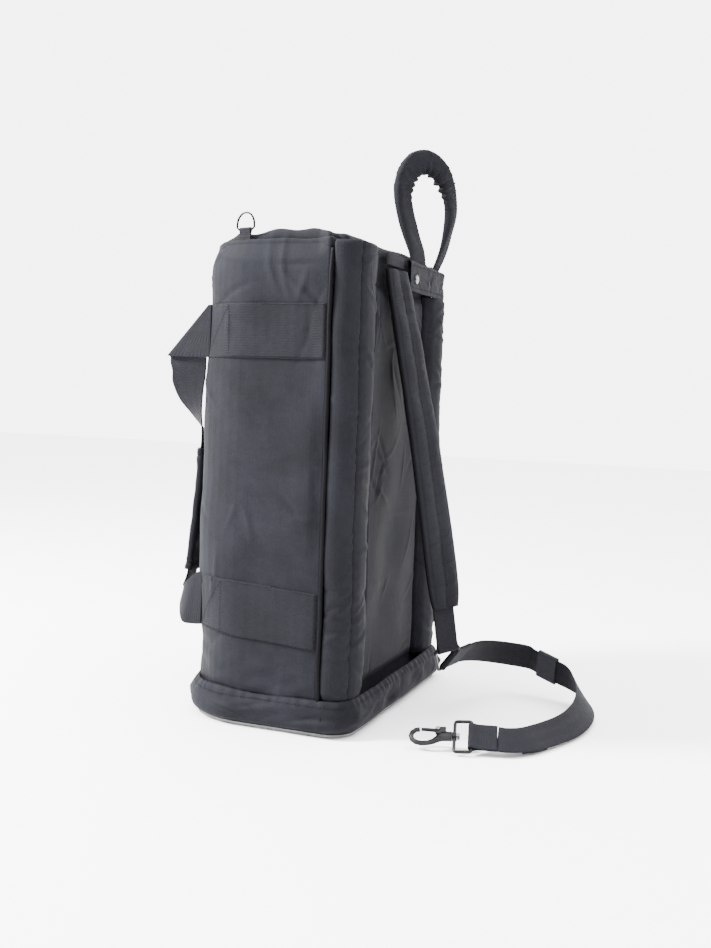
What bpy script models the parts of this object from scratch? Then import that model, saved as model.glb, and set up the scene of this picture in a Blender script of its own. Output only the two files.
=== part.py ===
"""Rope storage bag with a padded back, side handles, a haul loop, and a shoulder strap with a snap hook sling.

Metres, +Z up. The origin is on the floor, under the bag and half way along it. The padded back faces -Y, and
the narrow sides face -X (near) and +X (far). Every sub-part is one object.
"""
import math

import bmesh
import bpy
from mathutils import Vector

# Driving dimensions of the bag body
HALF_LENGTH = 0.198        # half of the canvas body along X
FRONT_Y = 0.147            # outer face of the canvas front
BACK_Y = -0.088            # outer face of the canvas back, behind the pads
PAD_STEP_X = 0.180         # the canvas steps in here, so that the pads wrap round the back corners
SEAM_Y = -0.068            # the corner seam between a narrow side and its pad
FRONT_RADIUS = 0.100
PAD_RADIUS = 0.033
OUTER_BACK_Y = -0.110      # outer face of the pads
OUTER_SIDE_X = 0.200
RIM_Z = 0.655              # top edge of the canvas
CANVAS = 0.003             # wall thickness of the canvas
LEAN = 0.006               # how far the top of the canvas leans in
GAP = 0.0003               # clearance between pieces that touch
CLOTH_GAP = 0.0004         # clearance of a band that lies on the canvas

# Webbing
BAND_WIDTH = 0.075
BAND_THICKNESS = 0.0022
UPPER_BAND_Z = 0.532
LOWER_BAND_Z = 0.152
BAND_X = HALF_LENGTH + CLOTH_GAP + BAND_THICKNESS / 2
BAND_TURN = 50             # how far the sewn bands run round the front corner, in degrees
HANDLE_WIDTH = 0.074
HANDLE_MIDDLE_Z = 0.345
HANDLE_START = Vector((0.1642, 0.1272))          # the free webbing starts here, just past the band's end
HANDLE_HEADING = Vector((-0.130, 0.990)).normalized()
GRIP_LINE = [
    (0.1065, 0.1605, 0.366), (0.1050, 0.1625, 0.320), (0.1040, 0.1680, 0.260), (0.1040, 0.1740, 0.205),
    (0.1045, 0.1765, 0.186), (0.1060, 0.1790, 0.174),
]
GRIP_FROM = 12             # the handle's station at the top of the grip
SLING_WIDTH = 0.038
SLING_THICKNESS = 0.0022

# Boot and sole
BOOT_HEIGHT = 0.045
BOOT_HALF_X = 0.2045
BOOT_BACK_Y = -0.114
BOOT_FRONT_Y = 0.153
SOLE_THICKNESS = 0.0035
FLOOR_Z = 0.004            # under side of the canvas bottom

# Back
PAD_BOTTOM_Z = 0.048
PAD_TOP_Z = 0.604
HEM_TOP_Z = 0.648
PAD_INNER_X = 0.1145       # the pads end here, and the recessed channel starts

# Shoulder strap and haul loop hinge lines
STRAP_HINGE = Vector((-0.035, -0.101, 0.630))
LOOP_HINGE = Vector((0.125, -0.0945, 0.650))

# Triangle ring: the corners of its centre line
RING_A = Vector((-0.0541, -0.1831, 0.0930))
RING_B = Vector((-0.0185, -0.2101, 0.0984))
RING_D = Vector((-0.0133, -0.1775, 0.0555))
RING_WIRE = 0.00225
RING_PIVOT = (RING_A + RING_B) / 2
SLING_BAR = (RING_B + RING_D) / 2

# Sling: centre line stations as (x, y, z, inward lean of the webbing in degrees)
SLING_ROUTE = [
    (0.0292, -0.2014, 0.0770, 37), (0.0520, -0.2065, 0.0755, 33), (0.0800, -0.2145, 0.0715, 28),
    (0.1070, -0.2290, 0.0660, 22), (0.1300, -0.2500, 0.0600, 17), (0.1430, -0.2720, 0.0550, 14),
    (0.1360, -0.2905, 0.0500, 14), (0.1250, -0.3195, 0.0425, 14), (0.1180, -0.3380, 0.0370, 16),
    (0.1030, -0.3540, 0.0310, 26), (0.0780, -0.3680, 0.0255, 36), (0.0460, -0.3775, 0.0215, 44),
    (0.0120, -0.3805, 0.0185, 49), (-0.0250, -0.3780, 0.0165, 52), (-0.0590, -0.3700, 0.0152, 54),
    (-0.0900, -0.3580, 0.0148, 55), (-0.1150, -0.3470, 0.0150, 55), (-0.1350, -0.3375, 0.0158, 55),
    (-0.1500, -0.3260, 0.0170, 55), (-0.1598, -0.3136, 0.0182, 55), (-0.1624, -0.3035, 0.0188, 55),
]
KEEPER_FROM = 6            # the keeper sits on the straight stretch between these two stations
KEEPER_TO = 7
TAIL_FROM = 16             # the sling's loose end lies under these stations
TAIL_TO = 19
EYE = Vector((-0.1705, -0.2720, 0.0195))   # middle of the hook eye's webbing bar

# Haul loop: centre line stations as (x, y, z, width, thickness, turn of its face from -Y towards -X in degrees)
LOOP_ROUTE = [
    (0.0840, -0.0945, 0.6534, 0.066, 0.006, 0), (0.0815, -0.0900, 0.6743, 0.058, 0.010, 2),
    (0.0780, -0.0790, 0.7073, 0.048, 0.014, 6), (0.0755, -0.0700, 0.7436, 0.042, 0.016, 10),
    (0.0780, -0.0680, 0.7733, 0.040, 0.017, 16), (0.0880, -0.0730, 0.7975, 0.038, 0.018, 24),
    (0.1020, -0.0810, 0.8118, 0.038, 0.018, 29), (0.1180, -0.0910, 0.8162, 0.038, 0.018, 31),
    (0.1340, -0.1010, 0.8107, 0.038, 0.018, 29), (0.1480, -0.1100, 0.7953, 0.038, 0.018, 22),
    (0.1580, -0.1170, 0.7711, 0.036, 0.017, 12), (0.1645, -0.1190, 0.7403, 0.034, 0.015, 2),
    (0.1675, -0.1130, 0.7073, 0.032, 0.012, -4), (0.1680, -0.1040, 0.6743, 0.030, 0.008, -2),
    (0.1660, -0.0945, 0.6534, 0.026, 0.006, 0),
]
LOOP_LEFT_BASE_X = 0.084
LOOP_RIGHT_BASE_X = 0.166

# D-ring at the rim
RIM_RING_TURN = 14.6       # place on the near front corner, in degrees round it from the narrow side
RIM_RING_INSET = 0.0147
RIM_RING_Z = 0.6710

# Drawcord and cord lock
CORD_RADIUS = 0.002
CORD_INSET = 0.0595
CORD_Z = 0.643
STRAND_X = 0.0026
LOCK_Y = 0.069

UP = Vector((0, 0, 1))
ALONG_X = Vector((1, 0, 0))
ALONG_Y = Vector((0, 1, 0))


# ---------------------------------------------------------------- materials and meshes

def material(name, color, roughness, metallic=0.0):
    made = bpy.data.materials.get(name) or bpy.data.materials.new(name)
    made.use_nodes = True
    shader = made.node_tree.nodes["Principled BSDF"]
    shader.inputs["Base Color"].default_value = (*color, 1.0)
    shader.inputs["Roughness"].default_value = roughness
    shader.inputs["Metallic"].default_value = metallic
    return made


def canvas():
    return material("canvas", (0.060, 0.062, 0.072), 0.62)


def webbing():
    return material("webbing", (0.050, 0.052, 0.058), 0.70)


def dark_trim():
    return material("dark_trim", (0.012, 0.012, 0.014), 0.60)


def padding():
    return material("padding", (0.046, 0.048, 0.056), 0.66)


def sole_rubber():
    return material("sole_rubber", (0.13, 0.13, 0.135), 0.55)


def dark_metal():
    return material("dark_metal", (0.030, 0.030, 0.033), 0.35, 1.0)


def bright_metal():
    return material("bright_metal", (0.60, 0.60, 0.62), 0.28, 1.0)


def black_plastic():
    return material("black_plastic", (0.015, 0.015, 0.017), 0.45)


def board():
    return material("board", (0.09, 0.08, 0.07), 0.80)


def add_object(name, mesh_data, finish, pivot=None):
    """Puts a bmesh into the scene as an object with its origin at the pivot."""
    pivot = pivot or Vector((0, 0, 0))
    bmesh.ops.recalc_face_normals(mesh_data, faces=mesh_data.faces)
    if mesh_data.calc_volume(signed=True) < 0:
        bmesh.ops.reverse_faces(mesh_data, faces=mesh_data.faces)
    bmesh.ops.translate(mesh_data, verts=mesh_data.verts, vec=-pivot)
    mesh = bpy.data.meshes.new(name)
    mesh_data.to_mesh(mesh)
    mesh_data.free()
    mesh.materials.append(finish)
    mesh.shade_smooth()
    mesh.set_sharp_from_angle(angle=math.radians(35))
    made = bpy.data.objects.new(name, mesh)
    made.location = pivot
    bpy.context.scene.collection.objects.link(made)
    return made


def loft(rings, closed=False):
    """Joins equal rings of points with quads. An open loft gets a cap at each end."""
    made = bmesh.new()
    layers = [[made.verts.new(point) for point in ring] for ring in rings]
    count = len(rings[0])
    pairs = list(zip(layers, layers[1:]))
    if closed:
        pairs.append((layers[-1], layers[0]))
    for low, high in pairs:
        for i in range(count):
            j = (i + 1) % count
            made.faces.new((low[i], low[j], high[j], high[i]))
    if not closed:
        made.faces.new(list(reversed(layers[0])))
        made.faces.new(layers[-1])
    return made


def directions(points, closed=False):
    """The unit direction of travel at each point."""
    found = []
    for i, point in enumerate(points):
        before = points[i - 1] if i or closed else point
        after = points[(i + 1) % len(points)] if closed or i + 1 < len(points) else point
        found.append((after - before).normalized())
    return found


def rounded_polygon(corners, steps=5):
    """Points of a polygon of (x, y, radius) corners, each corner turned into an arc."""
    points = []
    for i, (x, y, radius) in enumerate(corners):
        corner = Vector((x, y))
        back = (Vector(corners[i - 1][:2]) - corner).normalized()
        onward = (Vector(corners[(i + 1) % len(corners)][:2]) - corner).normalized()
        half = back.angle(onward) / 2
        centre = corner + (back + onward).normalized() * radius / math.sin(half)
        first = (corner + back * radius / math.tan(half) - centre).normalized()
        last = (corner + onward * radius / math.tan(half) - centre).normalized()
        for step in range(steps + 1):
            points.append(centre + first.slerp(last, step / steps) * radius)
    return points


def body_outline(inset, steps=5, tightest=0.001):
    """Outline of the canvas body, moved inward by the inset, with a step for each back pad."""
    side = HALF_LENGTH - inset
    step = PAD_STEP_X - inset
    seam = SEAM_Y + inset
    back = BACK_Y + inset
    front = FRONT_Y - inset
    small = max(0.004 - inset, tightest)
    corner = max(0.012 - inset, tightest + 0.001)
    near = [(-side, front, FRONT_RADIUS - inset), (-side, seam, small), (-step, seam, 0.005), (-step, back, corner)]
    far = [(-x, y, radius) for x, y, radius in reversed(near)]
    return rounded_polygon(near + far, steps)


def boot_outline(inset, steps=6):
    """Outline of the boot, moved inward by the inset."""
    x = BOOT_HALF_X - inset
    front = (BOOT_FRONT_Y - inset, FRONT_RADIUS + 0.005 - inset)
    back = (BOOT_BACK_Y + inset, PAD_RADIUS + 0.004 - inset)
    return rounded_polygon([(-x, *front), (-x, *back), (x, *back), (x, *front)], steps)


def at_height(outline, z):
    return [Vector((point.x, point.y, z)) for point in outline]


def plate(outline, bottom, top):
    return loft([at_height(outline, bottom), at_height(outline, top)])


def ribbon(centres, across, widths, thickness):
    """A flat strap: rectangular sections along a line of centres."""
    rings = []
    for centre, side, width, travel in zip(centres, across, widths, directions(centres)):
        side = side.normalized()
        normal = travel.cross(side).normalized()
        half = side * width / 2
        rise = normal * thickness / 2
        rings.append([centre - half - rise, centre + half - rise, centre + half + rise, centre - half + rise])
    return loft(rings)


def oval_section(centre, side, normal, width, thickness, sides=12):
    """A soft rounded strap section, squarer than an ellipse."""
    ring = []
    for i in range(sides):
        angle = 2 * math.pi * (i + 0.5) / sides
        flat = math.copysign(abs(math.cos(angle)) ** 0.6, math.cos(angle))
        rise = math.copysign(abs(math.sin(angle)) ** 0.8, math.sin(angle))
        ring.append(centre + side * flat * width / 2 + normal * rise * thickness / 2)
    return ring


def padded_strap(centres, across, widths, thicknesses):
    rings = []
    sizes = zip(centres, across, widths, thicknesses, directions(centres))
    for centre, side, width, thickness, travel in sizes:
        side = side.normalized()
        rings.append(oval_section(centre, side, travel.cross(side).normalized(), width, thickness))
    return loft(rings)


def sheath(centres, across, outer, inner):
    """A sleeve with a through slot: (width, thickness) of its outside and of its slot."""
    out_rings = []
    in_rings = []
    for centre, side, travel in zip(centres, across, directions(centres)):
        side = side.normalized()
        normal = travel.cross(side).normalized()
        out_rings.append(oval_section(centre, side, normal, *outer))
        in_rings.append(oval_section(centre, side, normal, *inner))
    return loft(out_rings + list(reversed(in_rings)), closed=True)


def tube(points, radii, plane_normal=None, closed=False, sides=8):
    """A round wire along points. A planar wire is framed by its plane's normal."""
    if not isinstance(radii, list):
        radii = [radii] * len(points)
    travels = directions(points, closed)
    normal = plane_normal or travels[0].orthogonal().normalized()
    rings = []
    for point, radius, travel in zip(points, radii, travels):
        normal = (normal - travel * normal.dot(travel)).normalized()
        other = travel.cross(normal)
        angles = [2 * math.pi * i / sides for i in range(sides)]
        rings.append([point + (normal * math.cos(a) + other * math.sin(a)) * radius for a in angles])
    return loft(rings, closed)


def cylinder(start, end, radius, sides=16):
    return tube([start, end], radius, sides=sides)


def box(low, high):
    """A box between two corners."""
    outline = [Vector((low[0], low[1])), Vector((high[0], low[1])), Vector((high[0], high[1])), Vector((low[0], high[1]))]
    return plate(outline, low[2], high[2])


def oriented_box(centre, axes, halves):
    """A box about a centre, with its sides along three given axes."""
    a, b, c = (axis * half for axis, half in zip(axes, halves))
    rings = [[centre - a - b + end, centre + a - b + end, centre + a + b + end, centre - a + b + end] for end in (-c, c)]
    return loft(rings)


def boolean(target, operation, tool_mesh):
    """Joins or cuts the target with a hidden tool object."""
    tool = add_object(f"{target.name}.tool{len(target.modifiers)}", tool_mesh, target.data.materials[0])
    tool.hide_render = True
    tool.display_type = "WIRE"
    modifier = target.modifiers.new(operation.lower(), "BOOLEAN")
    modifier.operation = operation
    modifier.solver = "EXACT"
    modifier.object = tool


def folded_webbing(bar, bar_axis, plies, length, width, thickness, bar_radius):
    """Webbing folded round a bar, with its two plies running along one direction."""
    normal = bar_axis.cross(plies).normalized()
    bend = bar_radius + CLOTH_GAP + thickness / 2
    ply = thickness / 2 + GAP / 2
    arc = [math.radians(degrees) for degrees in range(0, 181, 30)]
    turn = [bar + (normal * -math.cos(a) - plies * math.sin(a)) * bend for a in arc]
    ends = [(length, ply), (2.2 * bend, ply)]
    first = [bar + plies * along - normal * off for along, off in ends]
    second = [bar + plies * along + normal * off for along, off in reversed(ends)]
    path = first + turn + second
    return ribbon(path, [bar_axis] * len(path), [width] * len(path), thickness)


# ---------------------------------------------------------------- body

def make_canvas_body():
    rings = [
        at_height(body_outline(0), FLOOR_Z), at_height(body_outline(0), 0.590),
        at_height(body_outline(LEAN), 0.640), at_height(body_outline(LEAN), RIM_Z),
        at_height(body_outline(LEAN + CANVAS), RIM_Z), at_height(body_outline(LEAN + CANVAS), 0.640),
        at_height(body_outline(CANVAS), 0.590), at_height(body_outline(CANVAS), FLOOR_Z + CANVAS),
    ]
    add_object("canvas_body", loft(rings), canvas())


def make_base_board():
    bottom = FLOOR_Z + CANVAS + GAP
    add_object("base_board", plate(body_outline(CANVAS + 0.003), bottom, bottom + 0.004), board())


def make_boot():
    wall = [
        at_height(boot_outline(0), 0), at_height(boot_outline(0), BOOT_HEIGHT),
        at_height(boot_outline(0.0025), BOOT_HEIGHT), at_height(boot_outline(0.0025), 0),
    ]
    add_object("boot_band", loft(wall, closed=True), canvas())
    add_object("sole", plate(boot_outline(0.0025 + GAP), 0, SOLE_THICKNESS), sole_rubber())


def make_rim_binding():
    """A folded tape over the top edge of the canvas."""
    outer = LEAN - GAP
    inner = LEAN + CANVAS + GAP
    tape = 0.002
    bottom = RIM_Z - 0.009
    top = RIM_Z + GAP
    profile = [
        (outer - tape, bottom), (outer - tape, top + tape), (inner + tape, top + tape), (inner + tape, bottom),
        (inner, bottom), (inner, top), (outer, top), (outer, bottom),
    ]
    rings = [at_height(body_outline(inset), z) for inset, z in profile]
    add_object("rim_binding", loft(rings, closed=True), webbing())


def make_collar():
    """The gathered fabric collar inside the rim: a standing wall and a lip that the cord draws in."""
    profile = [
        (0.0036, 0.555), (0.0066, 0.590), (0.0176, 0.638), (0.0200, 0.651), (0.0310, 0.653), (0.0560, 0.644),
        (0.0560, 0.642), (0.0310, 0.651), (0.0216, 0.649), (0.0192, 0.637), (0.0082, 0.590), (0.0052, 0.555),
    ]
    rings = [at_height(body_outline(inset), z) for inset, z in profile]
    add_object("storm_collar", loft(rings, closed=True), canvas())


def make_drawcord():
    """The cord runs round the collar's lip, and both its ends go through the cord lock."""
    front = FRONT_Y - CORD_INSET
    way_in = [(-STRAND_X, LOCK_Y + by) for by in (-0.026, -0.010, 0.011)]
    way_in += [(-0.006, LOCK_Y + 0.0165), (-0.014, front)]
    way_out = [(-x, y) for x, y in reversed(way_in)]
    path = [Vector((x, y, CORD_Z)) for x, y in way_in]
    path += at_height(body_outline(CORD_INSET, 4, tightest=0.006), CORD_Z)
    path += [Vector((x, y, CORD_Z)) for x, y in way_out]
    add_object("collar_drawcord", tube(path, CORD_RADIUS, UP.copy(), sides=8), dark_trim())


def make_cord_lock():
    """A sprung cord lock: a body with a slot for both strands, and a button that slides down into it."""
    pivot = Vector((0, LOCK_Y, CORD_Z))
    low = (-0.010, LOCK_Y - 0.008, 0.6355)
    high = (0.010, LOCK_Y + 0.008, 0.6540)
    body = add_object("cord_lock_body", box(low, high), black_plastic(), pivot)
    slot_low = (-0.0052, LOCK_Y - 0.015, CORD_Z - 0.0026)
    slot_high = (0.0052, LOCK_Y + 0.015, CORD_Z + 0.0026)
    boolean(body, "DIFFERENCE", box(slot_low, slot_high))
    boolean(body, "DIFFERENCE", cylinder(Vector((0, LOCK_Y, CORD_Z + 0.001)), Vector((0, LOCK_Y, 0.660)), 0.0046))
    profile = [(0.6485, 0.0042), (0.6570, 0.0042), (0.6572, 0.0072), (0.6600, 0.0066)]
    points = [Vector((0, LOCK_Y, z)) for z, _ in profile]
    button = tube(points, [radius for _, radius in profile], ALONG_X.copy(), sides=16)
    add_object("cord_lock_button", button, black_plastic(), Vector((0, LOCK_Y, 0.6570)))


# ---------------------------------------------------------------- back

def make_centre_panel():
    add_object("centre_back_panel", box((-0.112, -0.0965, 0.050), (0.112, BACK_Y - GAP, 0.600)), padding())


def pad_outline(side):
    """Plan of a back pad that wraps round a back corner. The side is -1 for the near one, 1 for the far one."""
    inner = PAD_STEP_X + GAP
    back = BACK_Y - GAP
    end = SEAM_Y - 0.0045
    corners = [
        (-OUTER_SIDE_X, end, 0.003), (-OUTER_SIDE_X, OUTER_BACK_Y, PAD_RADIUS),
        (-PAD_INNER_X, OUTER_BACK_Y, 0.016), (-PAD_INNER_X, back, 0.002),
        (-inner, back, 0.0117), (-inner, end, 0.002),
    ]
    if side > 0:
        corners = [(-x, y, radius) for x, y, radius in reversed(corners)]
    return rounded_polygon(corners, 6)


def hem_path(start_x):
    """The hem's plan line, from a point on the back round the far corner to the seam."""
    half = 0.0035
    y = OUTER_BACK_Y + half
    radius = PAD_RADIUS - half
    centre = Vector((OUTER_SIDE_X - PAD_RADIUS, OUTER_BACK_Y + PAD_RADIUS))
    arc = [math.radians(degrees) for degrees in range(-90, -4, 17)]
    turn = [centre + Vector((math.cos(a), math.sin(a))) * radius for a in arc]
    return [Vector((start_x, y))] + turn


def make_back_pads():
    middle = (PAD_TOP_Z + GAP * 4 + HEM_TOP_Z) / 2
    height = HEM_TOP_Z - PAD_TOP_Z - GAP * 4
    for name, side, start_x in (("near", -1, PAD_INNER_X), ("far", 1, 0.005)):
        add_object(f"{name}_back_pad", plate(pad_outline(side), PAD_BOTTOM_Z, PAD_TOP_Z), padding())
        path = [Vector((side * point.x, point.y, middle)) for point in hem_path(start_x)]
        add_object(f"{name}_back_hem", ribbon(path, [UP] * len(path), [height] * len(path), 0.007), canvas())


def make_piping():
    for name, side in (("near", -1), ("far", 1)):
        x = side * (OUTER_SIDE_X + 0.0008)
        y = SEAM_Y - 0.0016
        line = [Vector((x, y, z)) for z in (PAD_BOTTOM_Z, 0.250, 0.450, 0.590)]
        line.append(Vector((x - side * LEAN, y, 0.640)))
        add_object(f"{name}_corner_piping", tube(line, 0.003, ALONG_Y.copy()), dark_trim())


def make_press_stud():
    """A dished cap on the outside of the hem and its backing plate on the inside."""
    place = Vector((0.029, 0, 0.623))
    for name, start, end, radius in (
        ("press_stud_cap", OUTER_BACK_Y - GAP, OUTER_BACK_Y - 0.0028, 0.0068),
        ("press_stud_back", OUTER_BACK_Y + 0.007 + GAP, OUTER_BACK_Y + 0.0095, 0.0055),
    ):
        line = [Vector((place.x, y, place.z)) for y in (start, (start + end) / 2, end)]
        add_object(name, tube(line, [radius, radius, radius * 0.75], UP.copy(), sides=20), bright_metal())


# ---------------------------------------------------------------- side handles

def band_line(side, z, drop):
    """A sewn band's centre line: from the corner seam along the narrow side, and part way round the front."""
    line = [Vector((side * BAND_X, SEAM_Y + 0.0055, z - drop))]
    centre = Vector((side * (HALF_LENGTH - FRONT_RADIUS), FRONT_Y - FRONT_RADIUS, z))
    radius = BAND_X - HALF_LENGTH + FRONT_RADIUS
    for degrees in range(0, BAND_TURN + 1, 10):
        turn = math.radians(degrees)
        line.append(centre + Vector((side * math.cos(turn), math.sin(turn), 0)) * radius)
    return line


def make_side_bands(name, side):
    for level, z, drop in (("upper", UPPER_BAND_Z, 0.0), ("lower", LOWER_BAND_Z + 0.005, 0.010)):
        line = band_line(side, z, drop)
        strip = ribbon(line, [UP] * len(line), [BAND_WIDTH] * len(line), BAND_THICKNESS)
        add_object(f"{name}_{level}_band", strip, webbing())


def handle_edges():
    """The two edges of a far side handle's webbing, station by station: (x, y, z) of the first and of the second.

    It leaves the upper band, folds down on a diagonal, narrows under the grip, and curls in to the lower band.
    """
    def beyond_band(along, z, inward=0.0):
        place = HANDLE_START + HANDLE_HEADING * along + Vector((-HANDLE_HEADING.y, HANDLE_HEADING.x)) * inward
        return Vector((place.x, place.y, z))

    top = UPPER_BAND_Z + HANDLE_WIDTH / 2
    low = UPPER_BAND_Z - HANDLE_WIDTH / 2
    edges = [(beyond_band(0.0012 * step, top), beyond_band(0.0245 * step, low)) for step in range(3)]
    edges += [
        (beyond_band(0.0040, top - 0.0010), beyond_band(0.0725, low + 0.0010)),
        (beyond_band(0.0050, top - 0.0004, 0.0025), beyond_band(0.0740, low + 0.0014, 0.0025)),
        (beyond_band(0.0080, top - 0.0060, 0.0050), beyond_band(0.0725, low - 0.0010, 0.0050)),
        (beyond_band(0.0085, 0.5300, 0.0052), beyond_band(0.0725, 0.4860, 0.0056)),
        (beyond_band(0.0090, 0.5000, 0.0056), beyond_band(0.0700, 0.4740, 0.0070)),
    ]
    slopes = [
        ((0.1500, 0.1400, 0.472), (0.1420, 0.1980, 0.458)), ((0.1430, 0.1470, 0.446), (0.1290, 0.1930, 0.434)),
        ((0.1350, 0.1530, 0.418), (0.1120, 0.1810, 0.412)), ((0.1270, 0.1560, 0.390), (0.0960, 0.1680, 0.388)),
    ]
    for x, y, z in GRIP_LINE:
        slopes.append(((x + 0.0169, y - 0.0020, z), (x - 0.0169, y + 0.0020, z)))
    slopes += [
        ((0.1350, 0.1740, 0.166), (0.0980, 0.1890, 0.158)), ((0.1490, 0.1600, 0.176), (0.1290, 0.1860, 0.132)),
        ((0.1560, 0.1470, 0.185), (0.1530, 0.1640, 0.119)), ((0.1600, 0.1370, 0.192), (0.1600, 0.1420, 0.118)),
        ((0.1642, 0.1272, 0.194), (0.1642, 0.1272, 0.120)),
    ]
    return edges + [(Vector(first), Vector(second)) for first, second in slopes]


def make_side_handle(name, side):
    edges = handle_edges()
    for pair in edges:
        for point in pair:
            point.x *= side
    centres = [(first + second) / 2 for first, second in edges]
    across = [first - second for first, second in edges]
    pivot = Vector((side * HANDLE_START.x, HANDLE_START.y, HANDLE_MIDDLE_Z))
    strip = ribbon(centres, across, [line.length for line in across], BAND_THICKNESS)
    add_object(f"{name}_side_handle", strip, webbing(), pivot)
    covered = slice(GRIP_FROM, GRIP_FROM + len(GRIP_LINE) - 1)
    grip = sheath(centres[covered], across[covered], (0.044, 0.0125), (0.0376, 0.0050))
    add_object(f"{name}_handle_grip", grip, padding(), pivot)


# ---------------------------------------------------------------- haul loop

def make_haul_loop():
    """A flat padded band, bent edgewise into an arch. Its ends are sewn side by side behind the hem."""
    centres = [Vector(station[:3]) for station in LOOP_ROUTE]
    across = []
    for station, travel in zip(LOOP_ROUTE, directions(centres)):
        turn = math.radians(station[5])
        across.append(travel.cross(Vector((-math.sin(turn), -math.cos(turn), 0))).normalized())
    loop = padded_strap(centres, across, [s[3] for s in LOOP_ROUTE], [s[4] for s in LOOP_ROUTE])
    add_object("haul_loop", loop, padding(), LOOP_HINGE)
    for name, x, width in (("left", LOOP_LEFT_BASE_X, 0.068), ("right", LOOP_RIGHT_BASE_X, 0.026)):
        low = (x - width / 2, -0.0965, 0.608)
        high = (x + width / 2, -0.0915, 0.6475)
        add_object(f"haul_loop_anchor_{name}", box(low, high), webbing())


# ---------------------------------------------------------------- shoulder strap, ring and sling

def strap_across(degrees):
    """The strap's width direction, turned from +X towards -Y."""
    return Vector((math.cos(math.radians(degrees)), -math.sin(math.radians(degrees)), 0))


def make_shoulder_strap():
    anchor = [Vector((STRAP_HINGE.x, -0.0985, z)) for z in (0.652, 0.640, 0.6345)]
    patch = padded_strap(anchor, [ALONG_X] * 3, [0.072] * 3, [0.005, 0.008, 0.008])
    add_object("shoulder_strap_anchor", patch, padding())
    stations = [
        (-0.035, -0.1015, 0.6285, 4, 0.072, 0.009), (-0.035, -0.1070, 0.600, 5, 0.074, 0.012),
        (-0.035, -0.1180, 0.550, 7, 0.075, 0.013), (-0.035, -0.1285, 0.500, 9, 0.075, 0.013),
        (-0.035, -0.1400, 0.445, 11, 0.075, 0.013), (-0.035, -0.1520, 0.385, 13, 0.075, 0.013),
        (-0.035, -0.1630, 0.325, 15, 0.074, 0.013), (-0.035, -0.1735, 0.265, 17, 0.073, 0.013),
        (-0.035, -0.1820, 0.215, 20, 0.070, 0.013), (-0.0355, -0.1885, 0.175, 26, 0.060, 0.012),
        (-0.036, -0.1915, 0.1530, 33, 0.046, 0.009),
    ]
    centres = [Vector(station[:3]) for station in stations]
    across = [strap_across(station[3]) for station in stations]
    pad = padded_strap(centres, across, [s[4] for s in stations], [s[5] for s in stations])
    add_object("shoulder_strap_pad", pad, padding(), STRAP_HINGE)
    bar = (RING_B - RING_A).normalized()
    up = (centres[-1] - RING_PIVOT).normalized()
    up = (up - bar * up.dot(bar)).normalized()
    length = (centres[-1] - RING_PIVOT).length - 0.0035
    end = folded_webbing(RING_PIVOT, bar, up, length, 0.034, 0.0022, RING_WIRE)
    add_object("shoulder_strap_webbing", end, webbing(), STRAP_HINGE)


def make_triangle_ring():
    side = (RING_B - RING_A).normalized()
    normal = side.cross(RING_D - RING_A).normalized()
    other = normal.cross(side)
    flat = [((p - RING_A).dot(side), (p - RING_A).dot(other), 0.004) for p in (RING_A, RING_B, RING_D)]
    points = [RING_A + side * p.x + other * p.y for p in rounded_polygon(flat, 4)]
    middles = [(a + b) / 2 for a, b in zip(points, points[1:] + points[:1]) if (a - b).length > 0.010]
    ordered = []
    for i, point in enumerate(points):
        ordered.append(point)
        ahead = points[(i + 1) % len(points)]
        if (ahead - point).length > 0.010:
            ordered.append(middles.pop(0))
    add_object("triangle_ring", tube(ordered, RING_WIRE, normal, closed=True, sides=10), dark_metal(), RING_PIVOT)


def sling_frames():
    """The sling's centres and width directions: the webbing stands on edge and leans inward."""
    centres = [Vector(station[:3]) for station in SLING_ROUTE]
    across = []
    for station, travel in zip(SLING_ROUTE, directions(centres)):
        lean = math.radians(station[3])
        inward = Vector((travel.y, -travel.x, 0)).normalized()
        across.append(UP * math.cos(lean) + inward * math.sin(lean))
    across[KEEPER_TO] = across[KEEPER_FROM].copy()
    return centres, across


def make_sling():
    bar = (RING_B - RING_D).normalized()
    centres, across = sling_frames()
    away = centres[0] - SLING_BAR
    plies = (away - bar * away.dot(bar)).normalized()
    fold = folded_webbing(SLING_BAR, bar, plies, 0.0440, SLING_WIDTH, SLING_THICKNESS, RING_WIRE)
    add_object("sling_upper_fold", fold, webbing(), RING_PIVOT)
    across[0] = bar
    widths = [SLING_WIDTH] * len(centres)
    add_object("sling_webbing", ribbon(centres, across, widths, SLING_THICKNESS), webbing(), RING_PIVOT)
    tail = []
    tail_across = across[TAIL_FROM:TAIL_TO]
    for centre, wide, travel in zip(centres[TAIL_FROM:TAIL_TO], tail_across, directions(centres)[TAIL_FROM:TAIL_TO]):
        under = wide.cross(travel).normalized()
        if under.z > 0:
            under = -under
        tail.append(centre + under * 0.0028 - wide * 0.0030)
    add_object("sling_tail", ribbon(tail, tail_across, [0.032] * len(tail), 0.0018), webbing(), RING_PIVOT)
    start = centres[KEEPER_FROM]
    end = centres[KEEPER_TO]
    middle = (start + end) / 2
    half = (end - start).normalized() * 0.0165
    stations = [middle - half, middle, middle + half]
    sleeve = sheath(stations, [across[KEEPER_FROM]] * 3, (0.0450, 0.0085), (0.0420, 0.0050))
    add_object("sling_keeper", sleeve, sole_rubber(), middle)


# ---------------------------------------------------------------- snap hook

def hook_frame():
    """The hook's axes: along it from the eye to the nose, across it, and its normal."""
    lean = math.radians(55)
    heading = Vector((-0.25, 0.968, 0)).normalized()
    inward = Vector((heading.y, -heading.x, 0))
    across = (UP * math.cos(lean) + inward * math.sin(lean)).normalized()
    along = heading - UP * 0.105
    along = (along - across * along.dot(across)).normalized()
    return along, across, along.cross(across)


def in_hook(along_by, across_by, normal_by=0.0):
    along, across, normal = hook_frame()
    return EYE + along * along_by + across * across_by + normal * normal_by


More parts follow.
